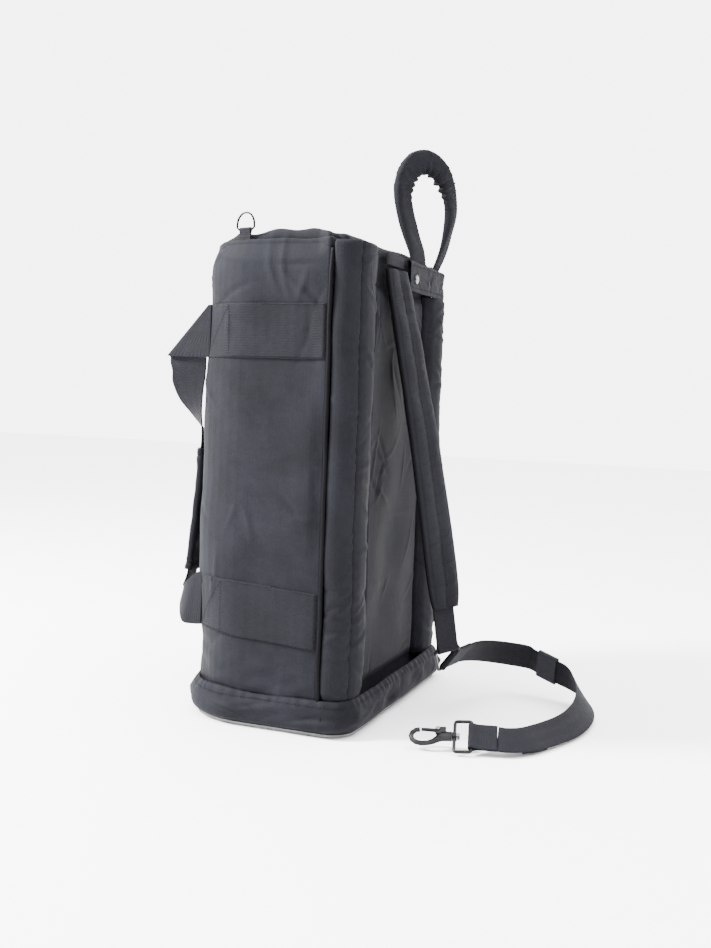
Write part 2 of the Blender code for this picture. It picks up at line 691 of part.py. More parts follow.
def make_lower_fold():
    along, across, _ = hook_frame()
    back = (Vector(SLING_ROUTE[-1][:3]) - EYE).normalized()
    back = (back - across * back.dot(across)).normalized()
    fold = folded_webbing(EYE, across, back, 0.0285, SLING_WIDTH, SLING_THICKNESS, 0.0022)
    add_object("sling_lower_fold", fold, webbing(), RING_PIVOT)


def make_hook_eye():
    _, _, normal = hook_frame()
    half = 0.0235
    corner = 0.0035
    outline = rounded_polygon([(0, -half, corner), (0.022, -half, corner), (0.022, half, corner), (0, half, corner)], 3)
    points = [in_hook(point.x, point.y) for point in outline]
    points.insert(0, in_hook(0, 0))
    points.insert(len(points) // 2 + 1, in_hook(0.022, 0))
    eye = add_object("hook_eye", tube(points, 0.0022, normal, closed=True), dark_metal(), EYE)
    boolean(eye, "UNION", cylinder(in_hook(0.0192, 0), in_hook(0.0248, 0), 0.0056))
    boolean(eye, "DIFFERENCE", cylinder(in_hook(0.015, 0), in_hook(0.030, 0), 0.0025))


def make_hook():
    along, across, normal = hook_frame()
    line = [
        (0.0252, 0, 0.0062), (0.0385, 0, 0.0062), (0.0430, -0.0035, 0.0046), (0.0490, -0.0078, 0.0036),
        (0.0560, -0.0102, 0.0033), (0.0640, -0.0108, 0.0033), (0.0710, -0.0090, 0.0033), (0.0760, -0.0050, 0.0033),
        (0.0780, 0.0005, 0.0033), (0.0765, 0.0060, 0.0032), (0.0720, 0.0098, 0.0031), (0.0670, 0.0108, 0.0030),
    ]
    path = [in_hook(u, w) for u, w, _ in line]
    pivot = in_hook(0.0252, 0)
    body = add_object("hook_body", tube(path, [r for _, _, r in line], normal, sides=10), dark_metal(), pivot)
    for side in (-1, 1):
        ear = oriented_box(in_hook(0.0395, 0.0062, side * 0.0043), (along, across, normal), (0.0068, 0.0052, 0.0008))
        boolean(body, "UNION", ear)
    boolean(body, "DIFFERENCE", cylinder(in_hook(0.020, 0), in_hook(0.0345, 0), 0.0026))
    boolean(body, "DIFFERENCE", cylinder(in_hook(0.0430, 0.0088, -0.009), in_hook(0.0430, 0.0088, 0.009), 0.0017))
    post = [(0.0150, 0.0036), (0.0165, 0.0044), (0.0185, 0.0044), (0.0186, 0.0022), (0.0330, 0.0022)]
    points = [in_hook(u, 0) for u, _ in post]
    add_object("hook_swivel_post", tube(points, [r for _, r in post], normal, sides=14), bright_metal(), pivot)
    hinge = in_hook(0.0430, 0.0088)
    gate_line = [in_hook(0.0455, 0.0092), in_hook(0.0560, 0.0102), in_hook(0.0650, 0.0108)]
    gate = add_object("hook_gate", tube(gate_line, [0.0024, 0.0024, 0.0022], normal), dark_metal(), hinge)
    boolean(gate, "UNION", cylinder(in_hook(0.0430, 0.0088, -0.0030), in_hook(0.0430, 0.0088, 0.0030), 0.0034))
    boolean(gate, "DIFFERENCE", cylinder(in_hook(0.0430, 0.0088, -0.009), in_hook(0.0430, 0.0088, 0.009), 0.0017))
    rivet = [(-0.0066, 0.0026), (-0.0056, 0.0026), (-0.0055, 0.0013), (0.0055, 0.0013), (0.0056, 0.0026), (0.0066, 0.0026)]
    points = [in_hook(0.0430, 0.0088, n) for n, _ in rivet]
    add_object("hook_gate_rivet", tube(points, [r for _, r in rivet], along, sides=12), bright_metal(), pivot)


# ---------------------------------------------------------------- D-ring at the rim

def make_rim_ring():
    """A wire D-ring on a folded tab, sewn inside the rim where the near front corner starts to turn."""
    turn = math.radians(RIM_RING_TURN)
    centre = Vector((-HALF_LENGTH + FRONT_RADIUS, FRONT_Y - FRONT_RADIUS, 0))
    radius = FRONT_RADIUS - RIM_RING_INSET
    bar = centre + Vector((-math.cos(turn), math.sin(turn), 0)) * radius + UP * RIM_RING_Z
    sideways = Vector((math.sin(turn), math.cos(turn), 0))
    outward = sideways.cross(UP)
    add_object("rim_ring_tab", folded_webbing(bar, sideways, -UP, 0.034, 0.020, 0.0012, 0.0015), webbing())
    half = 0.0155
    corner = 0.004
    arch = [math.radians(degrees) for degrees in range(0, 181, 18)]
    top = [(half * math.cos(a), 0.007 + 0.0165 * math.sin(a)) for a in arch]
    foot = [(-half, 0.003), (-half + corner, 0), (0, 0), (half - corner, 0), (half, 0.003)]
    points = [bar + sideways * along + UP * z for along, z in top + foot]
    add_object("rim_ring", tube(points, 0.0015, outward, closed=True), dark_metal(), bar)


def make_bag():
    for item in list(bpy.data.objects):
        bpy.data.objects.remove(item)
    make_canvas_body()
    make_base_board()
    make_boot()
    make_rim_binding()
    make_collar()
    make_drawcord()
    make_cord_lock()
    make_centre_panel()
    make_back_pads()
    make_piping()
    make_press_stud()
    for name, side in (("near", -1), ("far", 1)):
        make_side_bands(name, side)
        make_side_handle(name, side)
    make_haul_loop()
    make_shoulder_strap()
    make_triangle_ring()
    make_sling()
    make_lower_fold()
    make_hook_eye()
    make_hook()
    make_rim_ring()


make_bag()
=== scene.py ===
"""Looks of the rope storage bag: sagging canvas, webbing, padded back, strap, haul loop, black hardware.

Metres, +Z up. The bag's near narrow side faces -X, its far one +X, and its padded back faces -Y.
"""
import math

import bpy
import numpy as np
from mathutils import Matrix, Vector
from mathutils.bvhtree import BVHTree


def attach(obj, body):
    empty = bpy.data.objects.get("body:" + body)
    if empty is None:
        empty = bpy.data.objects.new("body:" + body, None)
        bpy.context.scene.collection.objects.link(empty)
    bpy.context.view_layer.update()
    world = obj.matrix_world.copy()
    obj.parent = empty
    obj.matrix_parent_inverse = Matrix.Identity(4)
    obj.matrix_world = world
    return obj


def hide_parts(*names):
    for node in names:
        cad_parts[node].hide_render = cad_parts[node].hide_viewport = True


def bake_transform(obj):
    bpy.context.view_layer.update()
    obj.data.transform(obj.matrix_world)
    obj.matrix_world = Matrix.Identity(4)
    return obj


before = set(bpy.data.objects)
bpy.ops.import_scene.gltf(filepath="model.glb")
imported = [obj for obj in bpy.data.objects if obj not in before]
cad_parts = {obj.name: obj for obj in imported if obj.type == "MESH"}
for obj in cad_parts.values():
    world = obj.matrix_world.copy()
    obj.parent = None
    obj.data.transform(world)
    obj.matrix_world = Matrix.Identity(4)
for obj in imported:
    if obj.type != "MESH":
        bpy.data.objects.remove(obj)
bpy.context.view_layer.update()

# Bag body, as the frame has it
HALF_LENGTH = 0.198
FRONT_Y = 0.147
BACK_Y = -0.088
PAD_STEP_X = 0.18
SEAM_Y = -0.068
FRONT_RADIUS = 0.1
CORNER_X = HALF_LENGTH - FRONT_RADIUS   # centre of the far front corner
CORNER_Y = FRONT_Y - FRONT_RADIUS
PAD_RADIUS = 0.033
OUTER_BACK_Y = -0.11
OUTER_SIDE_X = 0.2
PAD_INNER_X = 0.1145
RIM_Z = 0.655
CANVAS_THICKNESS = 0.0028
WEBBING_THICKNESS = 0.0022
BODY_GIRTH = 1.17
PAD_BOTTOM_Z = 0.046
PAD_TOP_Z = 0.604
HEM_TOP_Z = 0.648
HEM_START_X = 0.005        # the far part of the hem starts beside the shoulder strap
PAD_STITCH_X = 0.181       # the pad's stitch line runs up its rounded corner here
BOOT_HALF = 0.2045
BOOT_FRONT_Y = 0.153
BOOT_BACK_Y = -0.114
BAND_WIDTH = 0.075
BAND_TURN = 50             # the sewn bands run this far round the front corner, in degrees
UPPER_BAND_Z = 0.532
LOWER_BAND_Z = 0.152

HANDLE_WIDTH = 0.074
HANDLE_START = np.array((0.1642, 0.1272))
HANDLE_HEADING = np.array((-0.13, 0.99)) / math.hypot(0.13, 0.99)
HANDLE_HINGE_Z = 0.345

# Ring and drawcord at the rim
RIM_RING_TURN = 14.6
RIM_RING_INSET = 0.0147
RIM_RING_Z = 0.671
CORD_INSET = 0.0595
CORD_Z = 0.643
LOCK_Y = 0.069

# Triangle ring's corners, sling and hook's eye
RING_A = np.array((-0.0541, -0.1831, 0.093))
RING_B = np.array((-0.0185, -0.2101, 0.0984))
RING_D = np.array((-0.0133, -0.1775, 0.0555))
RING_WIRE = 0.00225        # radius of its wire
SLING_WIDTH = 0.038
EYE = np.array((-0.1705, -0.272, 0.0195))
EYE_WIRE = 0.0022
TAIL_FROM = 16             # the loose end lies under these stations of the sling
TAIL_TO = 19

# Camera
CAMERA_AT = Vector((-1.567, -0.648, 0.459))
CAMERA_HEADING = Vector((0.934, 0.358, 0)).normalized()
CAMERA_ROLL = 1.9
CAMERA_SHIFT = (-0.0115, -0.0907)
LENS = 42.9

# Light
ROOM_LIGHT = 0.9
OVERHEAD_LIGHT = 9.0
BACKDROP_LIGHT = 6.0
KEY_LIGHT = 430
BACK_LIGHT = 16
FLOOR_GAP = 0.0006         # the floor lies this far under the sole

UP = Vector((0, 0, 1))
AXIS_Z = np.array((0, 0, 1.0))
FIELD_WAVES = 14           # waves in a smooth random field
CREASE_SHARPNESS = 0.18
BUMP_STRENGTH = 0.55
TUBE_SIDES = 12
STRAP_COLUMNS = 56         # points round a padded strap's section
THREAD_RADIUS = 0.0005
THREAD_LIFT = 0.0003


# ---------------------------------------------------------------- small numeric helpers

def unit(vectors):
    return vectors / np.maximum(np.linalg.norm(vectors, axis=-1, keepdims=True), 1e-9)


def ramp(x, low, high):
    """0 below low, 1 above high, smooth between them."""
    t = np.clip((np.asarray(x, float) - low) / (high - low), 0, 1)
    return t * t * (3 - 2 * t)


def bump(x, centre, width):
    return np.exp(-((np.asarray(x, float) - centre) / width) ** 2)


def field(u, v, size, seed):
    """A smooth random field, about -1 to 1, with features about as wide as size."""
    random = np.random.default_rng(seed)
    total = 0
    for _ in range(FIELD_WAVES):
        angle = random.uniform(0, math.tau)
        length = size * random.uniform(0.7, 2.0)
        across = u * math.cos(angle) + v * math.sin(angle)
        total = total + np.sin(math.tau * across / length + random.uniform(0, math.tau))
    return total / math.sqrt(FIELD_WAVES)


def creases(u, v, size, seed):
    """Thin ridges, 0 to 1, where a smooth random field crosses zero."""
    return np.exp(-(field(u, v, size, seed) / CREASE_SHARPNESS) ** 2)


def strokes(u, v, width, height, count, seed, tilt=(0, math.pi), fineness=0.0035):
    """Short pressed creases, each a few centimetres long, at random places in a width by height area."""
    random = np.random.default_rng(seed)
    total = 0
    for _ in range(count):
        place_u, place_v = random.uniform(0, width), random.uniform(0, height)
        angle = random.uniform(*tilt)
        half = random.uniform(0.015, 0.045)
        bend = random.uniform(-6, 6)
        along = (u - place_u) * math.cos(angle) + (v - place_v) * math.sin(angle)
        aside = (v - place_v) * math.cos(angle) - (u - place_u) * math.sin(angle) + bend * along ** 2
        total = total + random.choice((-1, 1)) * np.exp(-(aside / fineness) ** 2 - (along / half) ** 2)
    return total


def distance_along(points):
    """How far each point is from the first one, along the line."""
    return np.concatenate([[0], np.cumsum(np.linalg.norm(np.diff(points, axis=0), axis=1))])


def squared(wave, power):
    """A sine or cosine with its tops flattened by a power under 1."""
    return np.sign(wave) * np.abs(wave) ** power


def evenly(points, count, closed=False):
    """The same line with evenly spaced points."""
    points = np.asarray(points, float)
    if closed:
        points = np.vstack([points, points[:1]])
    along = distance_along(points)
    wanted = np.linspace(0, along[-1], count, endpoint=not closed)
    return np.stack([np.interp(wanted, along, points[:, i]) for i in range(points.shape[1])], axis=1)


def spline(stations, count):
    """A Catmull-Rom line through rows of numbers, evenly spaced along their first three."""
    rows = np.asarray(stations, float)
    padded = np.vstack([2 * rows[0] - rows[1], rows, 2 * rows[-1] - rows[-2]])
    fine = []
    for i in range(len(rows) - 1):
        a, b, c, d = padded[i:i + 4]
        for t in np.linspace(0, 1, 24, endpoint=False):
            fine.append(0.5 * (2 * b + (c - a) * t + (2 * a - 5 * b + 4 * c - d) * t ** 2
                               + (3 * b - a - 3 * c + d) * t ** 3))
    fine.append(rows[-1])
    fine = np.array(fine)
    along = distance_along(fine[:, :3])
    wanted = np.linspace(0, along[-1], count)
    return np.stack([np.interp(wanted, along, fine[:, i]) for i in range(fine.shape[1])], axis=1)


def smooth_profile(profile, count):
    """A smooth section line through (inset or rise, height) pairs."""
    return spline([(*pair, 0) for pair in profile], count)[:, :2]


def outward_normals(line, centre):
    """Normals of a closed plan outline, pointing away from centre."""
    travel = unit(np.roll(line, -1, axis=0) - np.roll(line, 1, axis=0))
    normal = np.stack([travel[:, 1], -travel[:, 0]], axis=1)
    return normal * np.sign(((line - np.array(centre)) * normal).sum(axis=1, keepdims=True))


def rounded_polygon(corners, steps=6):
    """Points of a polygon of (x, y, radius) corners, each corner turned into an arc."""
    points = []
    for i, (x, y, radius) in enumerate(corners):
        corner = Vector((x, y))
        back = (Vector(corners[i - 1][:2]) - corner).normalized()
        onward = (Vector(corners[(i + 1) % len(corners)][:2]) - corner).normalized()
        half = back.angle(onward) / 2
        centre = corner + (back + onward).normalized() * radius / math.sin(half)
        first = (corner + back * radius / math.tan(half) - centre).normalized()
        last = (corner + onward * radius / math.tan(half) - centre).normalized()
        for step in range(steps + 1):
            points.append(tuple(centre + first.slerp(last, step / steps) * radius))
    return np.array(points)


# ---------------------------------------------------------------- materials

def principled(name, color, roughness, metallic=0.0):
    made = bpy.data.materials.new(name)
    made.use_nodes = True
    shader = made.node_tree.nodes["Principled BSDF"]
    shader.inputs["Base Color"].default_value = (*color, 1)
    shader.inputs["Roughness"].default_value = roughness
    shader.inputs["Metallic"].default_value = metallic
    return made, made.node_tree, shader


def noise(tree, vector, scale, detail=3.0, roughness=0.55):
    node = tree.nodes.new("ShaderNodeTexNoise")
    node.inputs["Scale"].default_value = scale
    node.inputs["Detail"].default_value = detail
    node.inputs["Roughness"].default_value = roughness
    tree.links.new(vector, node.inputs["Vector"])
    return node.outputs["Fac"]


def combine(tree, operation, first, second):
    node = tree.nodes.new("ShaderNodeMath")
    node.operation = operation
    for socket, value in zip(node.inputs, (first, second)):
        if isinstance(value, (int, float)):
            socket.default_value = value
        else:
            tree.links.new(value, socket)
    return node.outputs[0]


def remap(tree, value, low, high, start=0.3, end=0.7, interpolation="LINEAR"):
    """Start to end becomes low to high. By default start and end are a noise node's lowest and highest."""
    node = tree.nodes.new("ShaderNodeMapRange")
    node.interpolation_type = interpolation
    node.inputs["From Min"].default_value = start
    node.inputs["From Max"].default_value = end
    node.inputs["To Min"].default_value = low
    node.inputs["To Max"].default_value = high
    tree.links.new(value, node.inputs["Value"])
    return node.outputs["Result"]


def threads(tree, vector, per_metre, direction):
    node = tree.nodes.new("ShaderNodeTexWave")
    node.wave_type = "BANDS"
    node.bands_direction = direction
    node.inputs["Scale"].default_value = per_metre / math.tau * 0.314
    node.inputs["Distortion"].default_value = 0.6
    node.inputs["Detail"].default_value = 1.0
    tree.links.new(vector, node.inputs["Vector"])
    return node.outputs["Fac"]


def tint_by(tree, shader, color, shade):
    """The material's color, made lighter and darker by shade."""
    tint = tree.nodes.new("ShaderNodeMix")
    tint.data_type = "RGBA"
    tint.blend_type = "MULTIPLY"
    tint.inputs["Factor"].default_value = 1.0
    tint.inputs["A"].default_value = (*color, 1)
    tree.links.new(shade, tint.inputs["B"])
    tree.links.new(tint.outputs["Result"], shader.inputs["Base Color"])


def bump_by(tree, shader, height, distance):
    relief = tree.nodes.new("ShaderNodeBump")
    relief.inputs["Strength"].default_value = BUMP_STRENGTH
    relief.inputs["Distance"].default_value = distance
    tree.links.new(height, relief.inputs["Height"])
    tree.links.new(relief.outputs["Normal"], shader.inputs["Normal"])


def hard(name, color, roughness, metallic=0.0, wear=0.15, grain=900, depth=0.00004, coat=0.0):
    """Rubber, plastic or metal, with handling marks in the color and the gloss, and a fine grain."""
    made, tree, shader = principled(name, color, roughness, metallic)
    place = tree.nodes.new("ShaderNodeTexCoord").outputs["Object"]
    marks = noise(tree, place, 60, 4.0, 0.6)
    tint_by(tree, shader, color, remap(tree, marks, 1 - wear, 1 + wear))
    tree.links.new(remap(tree, marks, roughness - 0.06, roughness + 0.08), shader.inputs["Roughness"])
    bump_by(tree, shader, noise(tree, place, grain, 2.0), depth)
    shader.inputs["Coat Weight"].default_value = coat
    return made


def fabric(name, color, roughness=0.72, weft=1100, warp=1100, depth=0.0004, mottle=0.42, sheen=0.01,
           rib=0.35):
    """Woven cloth: two thread directions in UV metres, soft mottling and a little lint."""
    made, tree, shader = principled(name, color, roughness)
    coordinates = tree.nodes.new("ShaderNodeTexCoord")
    uv = coordinates.outputs["UV"]
    place = coordinates.outputs["Object"]
    patches = noise(tree, place, 14, 4.0, 0.6)
    lint = noise(tree, place, 420, 2.0, 0.7)
    broad = remap(tree, patches, 1 - mottle, 1 + mottle)
    shade = combine(tree, "MULTIPLY", broad, remap(tree, lint, 0.86, 1.14))
    tint_by(tree, shader, color, shade)
    tree.links.new(remap(tree, patches, roughness - 0.07, roughness + 0.07), shader.inputs["Roughness"])
    weave = combine(tree, "MULTIPLY", threads(tree, uv, weft, "X"), threads(tree, uv, warp, "Y"))
    grain = combine(tree, "MULTIPLY", noise(tree, place, 850, 2.0), 1.5)
    soft = combine(tree, "ADD", grain, combine(tree, "MULTIPLY", noise(tree, place, 90, 3.0), 1.8))
    height = combine(tree, "ADD", combine(tree, "MULTIPLY", weave, rib), soft)
    bump_by(tree, shader, height, depth)
    shader.inputs["Sheen Weight"].default_value = sheen
    shader.inputs["Sheen Roughness"].default_value = 0.45
    shader.inputs["Sheen Tint"].default_value = (0.75, 0.78, 0.9, 1)
    shader.inputs["Specular IOR Level"].default_value = 0.06
    return made


CANVAS = fabric("bag_canvas", (0.0068, 0.0069, 0.0092))
WEBBING = fabric("bag_webbing", (0.0064, 0.0065, 0.0086), 0.68, weft=420, warp=1800, depth=0.0006,
                 mottle=0.25, rib=1.0)
PADDING = fabric("padded_canvas", (0.0066, 0.0067, 0.0088), 0.74, mottle=0.3)
BINDING = fabric("edge_binding", (0.015, 0.0153, 0.019), 0.66, weft=700, warp=1400, mottle=0.15)
PIPING = fabric("piping", (0.0014, 0.0014, 0.002), 0.6, mottle=0.1, sheen=0.004)
THREAD = fabric("thread", (0.0016, 0.0016, 0.0022), 0.55, mottle=0.1, sheen=0.004)
CORD_CLOTH = fabric("drawcord", (0.0045, 0.0045, 0.0056), 0.6, weft=900, warp=900, mottle=0.1, sheen=0.004)
# The sole's light grey is partly its rubber tone and partly a painted reflection of the pale floor along
# its bottom edge.
SOLE_WITH_PAINTED_REFLECTION = hard("sole_rubber", (0.16, 0.16, 0.165), 0.6, wear=0.2, grain=500, depth=0.00015)
BLACK_METAL = hard("black_metal", (0.01, 0.01, 0.011), 0.34, 1.0, wear=0.3, coat=0.12)
STEEL = hard("plated_steel", (0.16, 0.16, 0.17), 0.26, 1.0, wear=0.12)
PLASTIC = hard("black_plastic", (0.014, 0.014, 0.016), 0.42, wear=0.2, grain=700, depth=0.00006)
BOARD = hard("base_board", (0.05, 0.05, 0.05), 0.78, wear=0.2, grain=300, depth=0.0001)


# ---------------------------------------------------------------- meshes

def put(name, data):
    """A new object in the scene."""
    made = bpy.data.objects.new(name, data)
    bpy.context.scene.collection.objects.link(made)
    return made


def surface(name, grid, finish, body, closed=False, caps=False):
    """A mesh over a grid of points, with UVs in metres. Closed joins its last column to its first."""
    rows, columns, _ = grid.shape
    joined = np.concatenate([grid, grid[:, :1]], axis=1)
    across = np.linalg.norm(np.diff(joined, axis=1), axis=2).mean(axis=0)
    u = np.concatenate([[0], np.cumsum(across)])
    along = np.linalg.norm(np.diff(grid, axis=0), axis=2).mean(axis=1)
    v = np.concatenate([[0], np.cumsum(along)])
    spans = columns if closed else columns - 1
    i, j = np.meshgrid(np.arange(rows - 1), np.arange(spans), indexing="ij")
    i = i.ravel()
    j = j.ravel()
    k = (j + 1) % columns
    low, high = i * columns, (i + 1) * columns
    quads = np.stack([low + j, low + k, high + k, high + j], axis=1)
    faces = quads.tolist()
    loops_u = np.stack([u[j], u[j + 1], u[j + 1], u[j]], axis=1).ravel()
    loops_v = np.stack([v[i], v[i], v[i + 1], v[i + 1]], axis=1).ravel()
    uv = np.stack([loops_u, loops_v], axis=1)
    if caps:
        faces.append(list(range(columns))[::-1])
        faces.append([(rows - 1) * columns + c for c in range(columns)])
        uv = np.vstack([uv, np.zeros((2 * columns, 2))])
    mesh = bpy.data.meshes.new(name)
    mesh.from_pydata(grid.reshape(-1, 3).tolist(), [], faces)
    mesh.uv_layers.new(name="metres").data.foreach_set("uv", uv.astype(np.float32).ravel())
    mesh.materials.append(finish)
    mesh.shade_smooth()
    made = put(name, mesh)
    if isinstance(body, str):
        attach(made, body)
    else:
        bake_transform(made)
    return made


def sweep(centres, across, sections, sheared=False):
    """A grid: at each centre, the section's (side, rise) offsets along the width direction and the normal.

    A sheared sweep keeps its width directions as they are, for webbing that is folded on a diagonal.
    """
    travel = unit(np.gradient(centres, axis=0))
    side = unit(across if sheared else across - (across * travel).sum(axis=1, keepdims=True) * travel)
    rise = unit(np.cross(travel, side))
    return centres[:, None] + sections[..., 0:1] * side[:, None] + sections[..., 1:2] * rise[:, None]


def strap_section(width, thickness, columns=12):
    """Points round a flat strap's section with rounded edges."""
    half = width / 2 - thickness / 2
    x = np.linspace(-half, half, columns)
    turn = np.radians([60, 30, 0, -30, -60])
    right = np.stack([half + np.cos(turn) * thickness / 2, np.sin(turn) * thickness / 2], axis=1)
    top = np.stack([x, np.full(columns, thickness / 2)], axis=1)
    bottom = np.stack([x[::-1], np.full(columns, -thickness / 2)], axis=1)
    left = -right
    return np.vstack([top, right, bottom, left])


def webbing_strip(name, centres, across, widths, thickness, body, columns=12, sheared=False):
    sections = np.stack([strap_section(width, thickness, columns) for width in widths])
    grid = sweep(centres, across, sections, sheared)
    return surface(name, grid, WEBBING, body, closed=True, caps=True)


def folded_strap(name, bar, bar_axis, plies, length, width, thickness, bar_radius, body):
    """Webbing folded round a bar, with its two plies running along one direction."""
    bar, bar_axis, plies = (np.array(value, float) for value in (bar, bar_axis, plies))
    normal = unit(np.cross(bar_axis, plies))
    bend = bar_radius + 0.0004 + thickness / 2
    ply = thickness / 2 + 0.0001
    arc = np.radians(np.linspace(0, 180, 13))[:, None]
    turn = bar + (-normal * np.cos(arc) - plies * np.sin(arc)) * bend
    along = np.linspace(length, 2.2 * bend, 14)[:, None]
    path = np.vstack([bar + plies * along - normal * ply, turn, bar + plies * along[::-1] + normal * ply])
    across = np.broadcast_to(bar_axis, path.shape)
    return webbing_strip(name, path, across, [width] * len(path), thickness, body)


def tube(name, points, radius, finish, body, normal=None):
    """A round cord along points. Normal starts its section's turn."""
    travel = unit(np.gradient(points, axis=0))
    if normal is None:
        normal = np.array(Vector(travel[0]).orthogonal())
    frames = []
    for direction in travel:
        normal = unit(normal - direction * np.dot(normal, direction))
        frames.append(normal)
    frames = np.array(frames)
    other = np.cross(travel, frames)
    angle = (np.arange(TUBE_SIDES) * math.tau / TUBE_SIDES)[None, :, None]
    ring = np.cos(angle) * frames[:, None] + np.sin(angle) * other[:, None]
    return surface(name, points[:, None] + ring * radius, finish, body, closed=True, caps=True)


def finder(obj):
    """Nearest point and normal on a mesh that is already in world coordinates."""
    vertices = [vertex.co.copy() for vertex in obj.data.vertices]
    return BVHTree.FromPolygons(vertices, [list(polygon.vertices) for polygon in obj.data.polygons])


THREAD_FACES = [[0, 3, 1], [0, 2, 3], [1, 3, 6, 4], [3, 2, 5, 6], [7, 4, 6], [7, 6, 5]]


def stitches(name, tree, lines, body, pitch=0.004, length=0.003):
    """Rows of short threads laid on a surface, along rough lines that are pulled onto it."""
    vertices = []
    faces = []
    for line in lines:
        total = np.linalg.norm(np.diff(line, axis=0), axis=1).sum()
        count = max(int(total / pitch), 2)
        places = evenly(line, count)
        found = [tree.find_nearest(Vector(place)) for place in places]
        for index, (point, normal, _, _) in enumerate(found):
            ahead = found[min(index + 1, count - 1)][0] - found[max(index - 1, 0)][0]
            if point is None or ahead.length < 1e-6:
                continue
            ahead = ahead.normalized()
            side = ahead.cross(normal).normalized()
            middle = point + normal * THREAD_LIFT
            base = len(vertices)
            vertices.append(middle - ahead * length / 2 - normal * THREAD_RADIUS)
            for share in (-0.25, 0.25):
                for a, b in ((side, 0), (-side, 0), (normal, 1)):
                    vertices.append(middle + ahead * length * share + a * THREAD_RADIUS * (1.0 + 0.2 * b))
            vertices.append(middle + ahead * length / 2 - normal * THREAD_RADIUS)
            faces += [[base + corner for corner in face] for face in THREAD_FACES]
    mesh = bpy.data.meshes.new(name)
    mesh.from_pydata([tuple(vertex) for vertex in vertices], [], faces)
    mesh.uv_layers.new(name="metres")
    mesh.materials.append(THREAD)
    mesh.shade_smooth()
    made = put(name, mesh)
    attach(made, body)
    return made


def laid_on(name, tree, grid, rise, finish, body):
    """A flat piece sewn on: a grid pulled onto the surface and lifted by rise, its border turned down."""
    rows, columns, _ = grid.shape
    i = np.minimum(np.arange(rows), np.arange(rows)[::-1])[:, None]
    j = np.minimum(np.arange(columns), np.arange(columns)[::-1])[None, :]
    lift = np.where(np.minimum(i, j) == 0, -0.0008, rise * np.clip(0.55 + 0.25 * np.minimum(i, j), 0, 1))
    placed = np.empty_like(grid)
    for r in range(rows):
        for c in range(columns):
            point, normal, _, _ = tree.find_nearest(Vector(grid[r, c]))
            if normal.dot(Vector(grid[r, c]) - Vector((0, 0, grid[r, c, 2]))) < 0:
                normal = -normal
            placed[r, c] = point + normal * lift[r, c]
    return surface(name, placed, finish, body)


def stand_in(piece, slot, *nodes):
    """The piece takes the place of its CAD nodes, which are hidden. The slot argument is not used."""
    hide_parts(*nodes)


def restyle(node, finish):
    """A rigid CAD piece keeps its shape and gets a new finish."""
    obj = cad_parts[node]
    obj.data.materials.clear()
    obj.data.materials.append(finish)


# ---------------------------------------------------------------- body

def body_corners(inset, tight=(0.003, 0.004, 0.008)):
    """Plan corners of the body. Tight has the radii of the three corners at each side of the back."""
    side = HALF_LENGTH - inset
    step = PAD_STEP_X - inset
    seam = SEAM_Y + inset
    back = BACK_Y + inset
    front = FRONT_Y - inset
    places = [(-side, seam), (-step, seam), (-step, back)]
    near = [(-side, front, FRONT_RADIUS - inset)]
    near += [(*place, radius) for place, radius in zip(places, tight)]
    return near + [(-x, y, radius) for x, y, radius in reversed(near)]


def body_frame(count):
    """The body's plan outline, its outward normals, and how free the canvas is to move at each point."""
    line = evenly(rounded_polygon(body_corners(0), 10), count, closed=True)
    free = ramp(line[:, 1], -0.066, -0.045)
    return line, outward_normals(line, (0, 0.02)), free


def body_relief(u, z, free, side_share, corner_share):
    """How far the canvas stands out from its plain form: bulges, and creases at the rim and the boot."""
    corner_bulge = 0.0045 * corner_share * ramp(z, 0.08, 0.22) * (1 - ramp(z, 0.44, 0.58))
    sag = 0.0018 * field(u, z, 0.22, 3) + 0.0007 * field(u, z, 0.07, 4)
    belly = 0.002 * np.sin(np.clip((z - 0.05) / 0.58, 0, 1) * math.pi)
    rumple = 0.0019 * strokes(u, z - 0.56, BODY_GIRTH, 0.09, 46, 5, (-0.9, 0.9)) * ramp(z, 0.55, 0.58)
    pulls = 0.0015 * strokes(u, z, BODY_GIRTH, 0.62, 90, 6, fineness=0.0045)
    near_boot = 1 - ramp(z, 0.05, 0.13)
    boot_folds = 0.0014 * near_boot * field(u, z * 2.5, 0.06, 7)
    under_bands = -0.0008 * (bump(z, UPPER_BAND_Z, 0.04) + bump(z, LOWER_BAND_Z, 0.045)) * side_share
    draw_in = -0.01 * ramp(z, 0.612, 0.658) ** 1.8
    return free * (sag + belly + corner_bulge + rumple + pulls + boot_folds + under_bands + draw_in)


def make_body():
    count = 440
    line, normal, free = body_frame(count)
    u = np.arange(count) * BODY_GIRTH / count
    side_share = ramp(np.abs(line[:, 0]), 0.15, 0.165)
    turn = np.arctan2(line[:, 1] - CORNER_Y, np.abs(line[:, 0]) - CORNER_X)
    corner_share = bump(turn, math.radians(56), math.radians(26)) * (line[:, 1] > 0.05)
    heights = np.concatenate([np.linspace(0.0045, 0.05, 6), np.linspace(0.055, RIM_Z - 0.001, 190)])
    rows = []
    for z in heights:
        offset = body_relief(u, z, free, side_share, corner_share)
        rows.append(np.column_stack([line + normal * offset[:, None], np.full(count, z)]))
    outer = np.array(rows)
    inner = outer[::-6].copy()
    inner[..., :2] -= normal[None] * CANVAS_THICKNESS
    inner[-1, :, 2] = 0.0075
    shell = surface("canvas_shell", np.concatenate([outer, inner]), CANVAS, "bag", closed=True, caps=True)
    stand_in(shell, "canvas", "canvas_body")
    return shell, outer[-1], normal


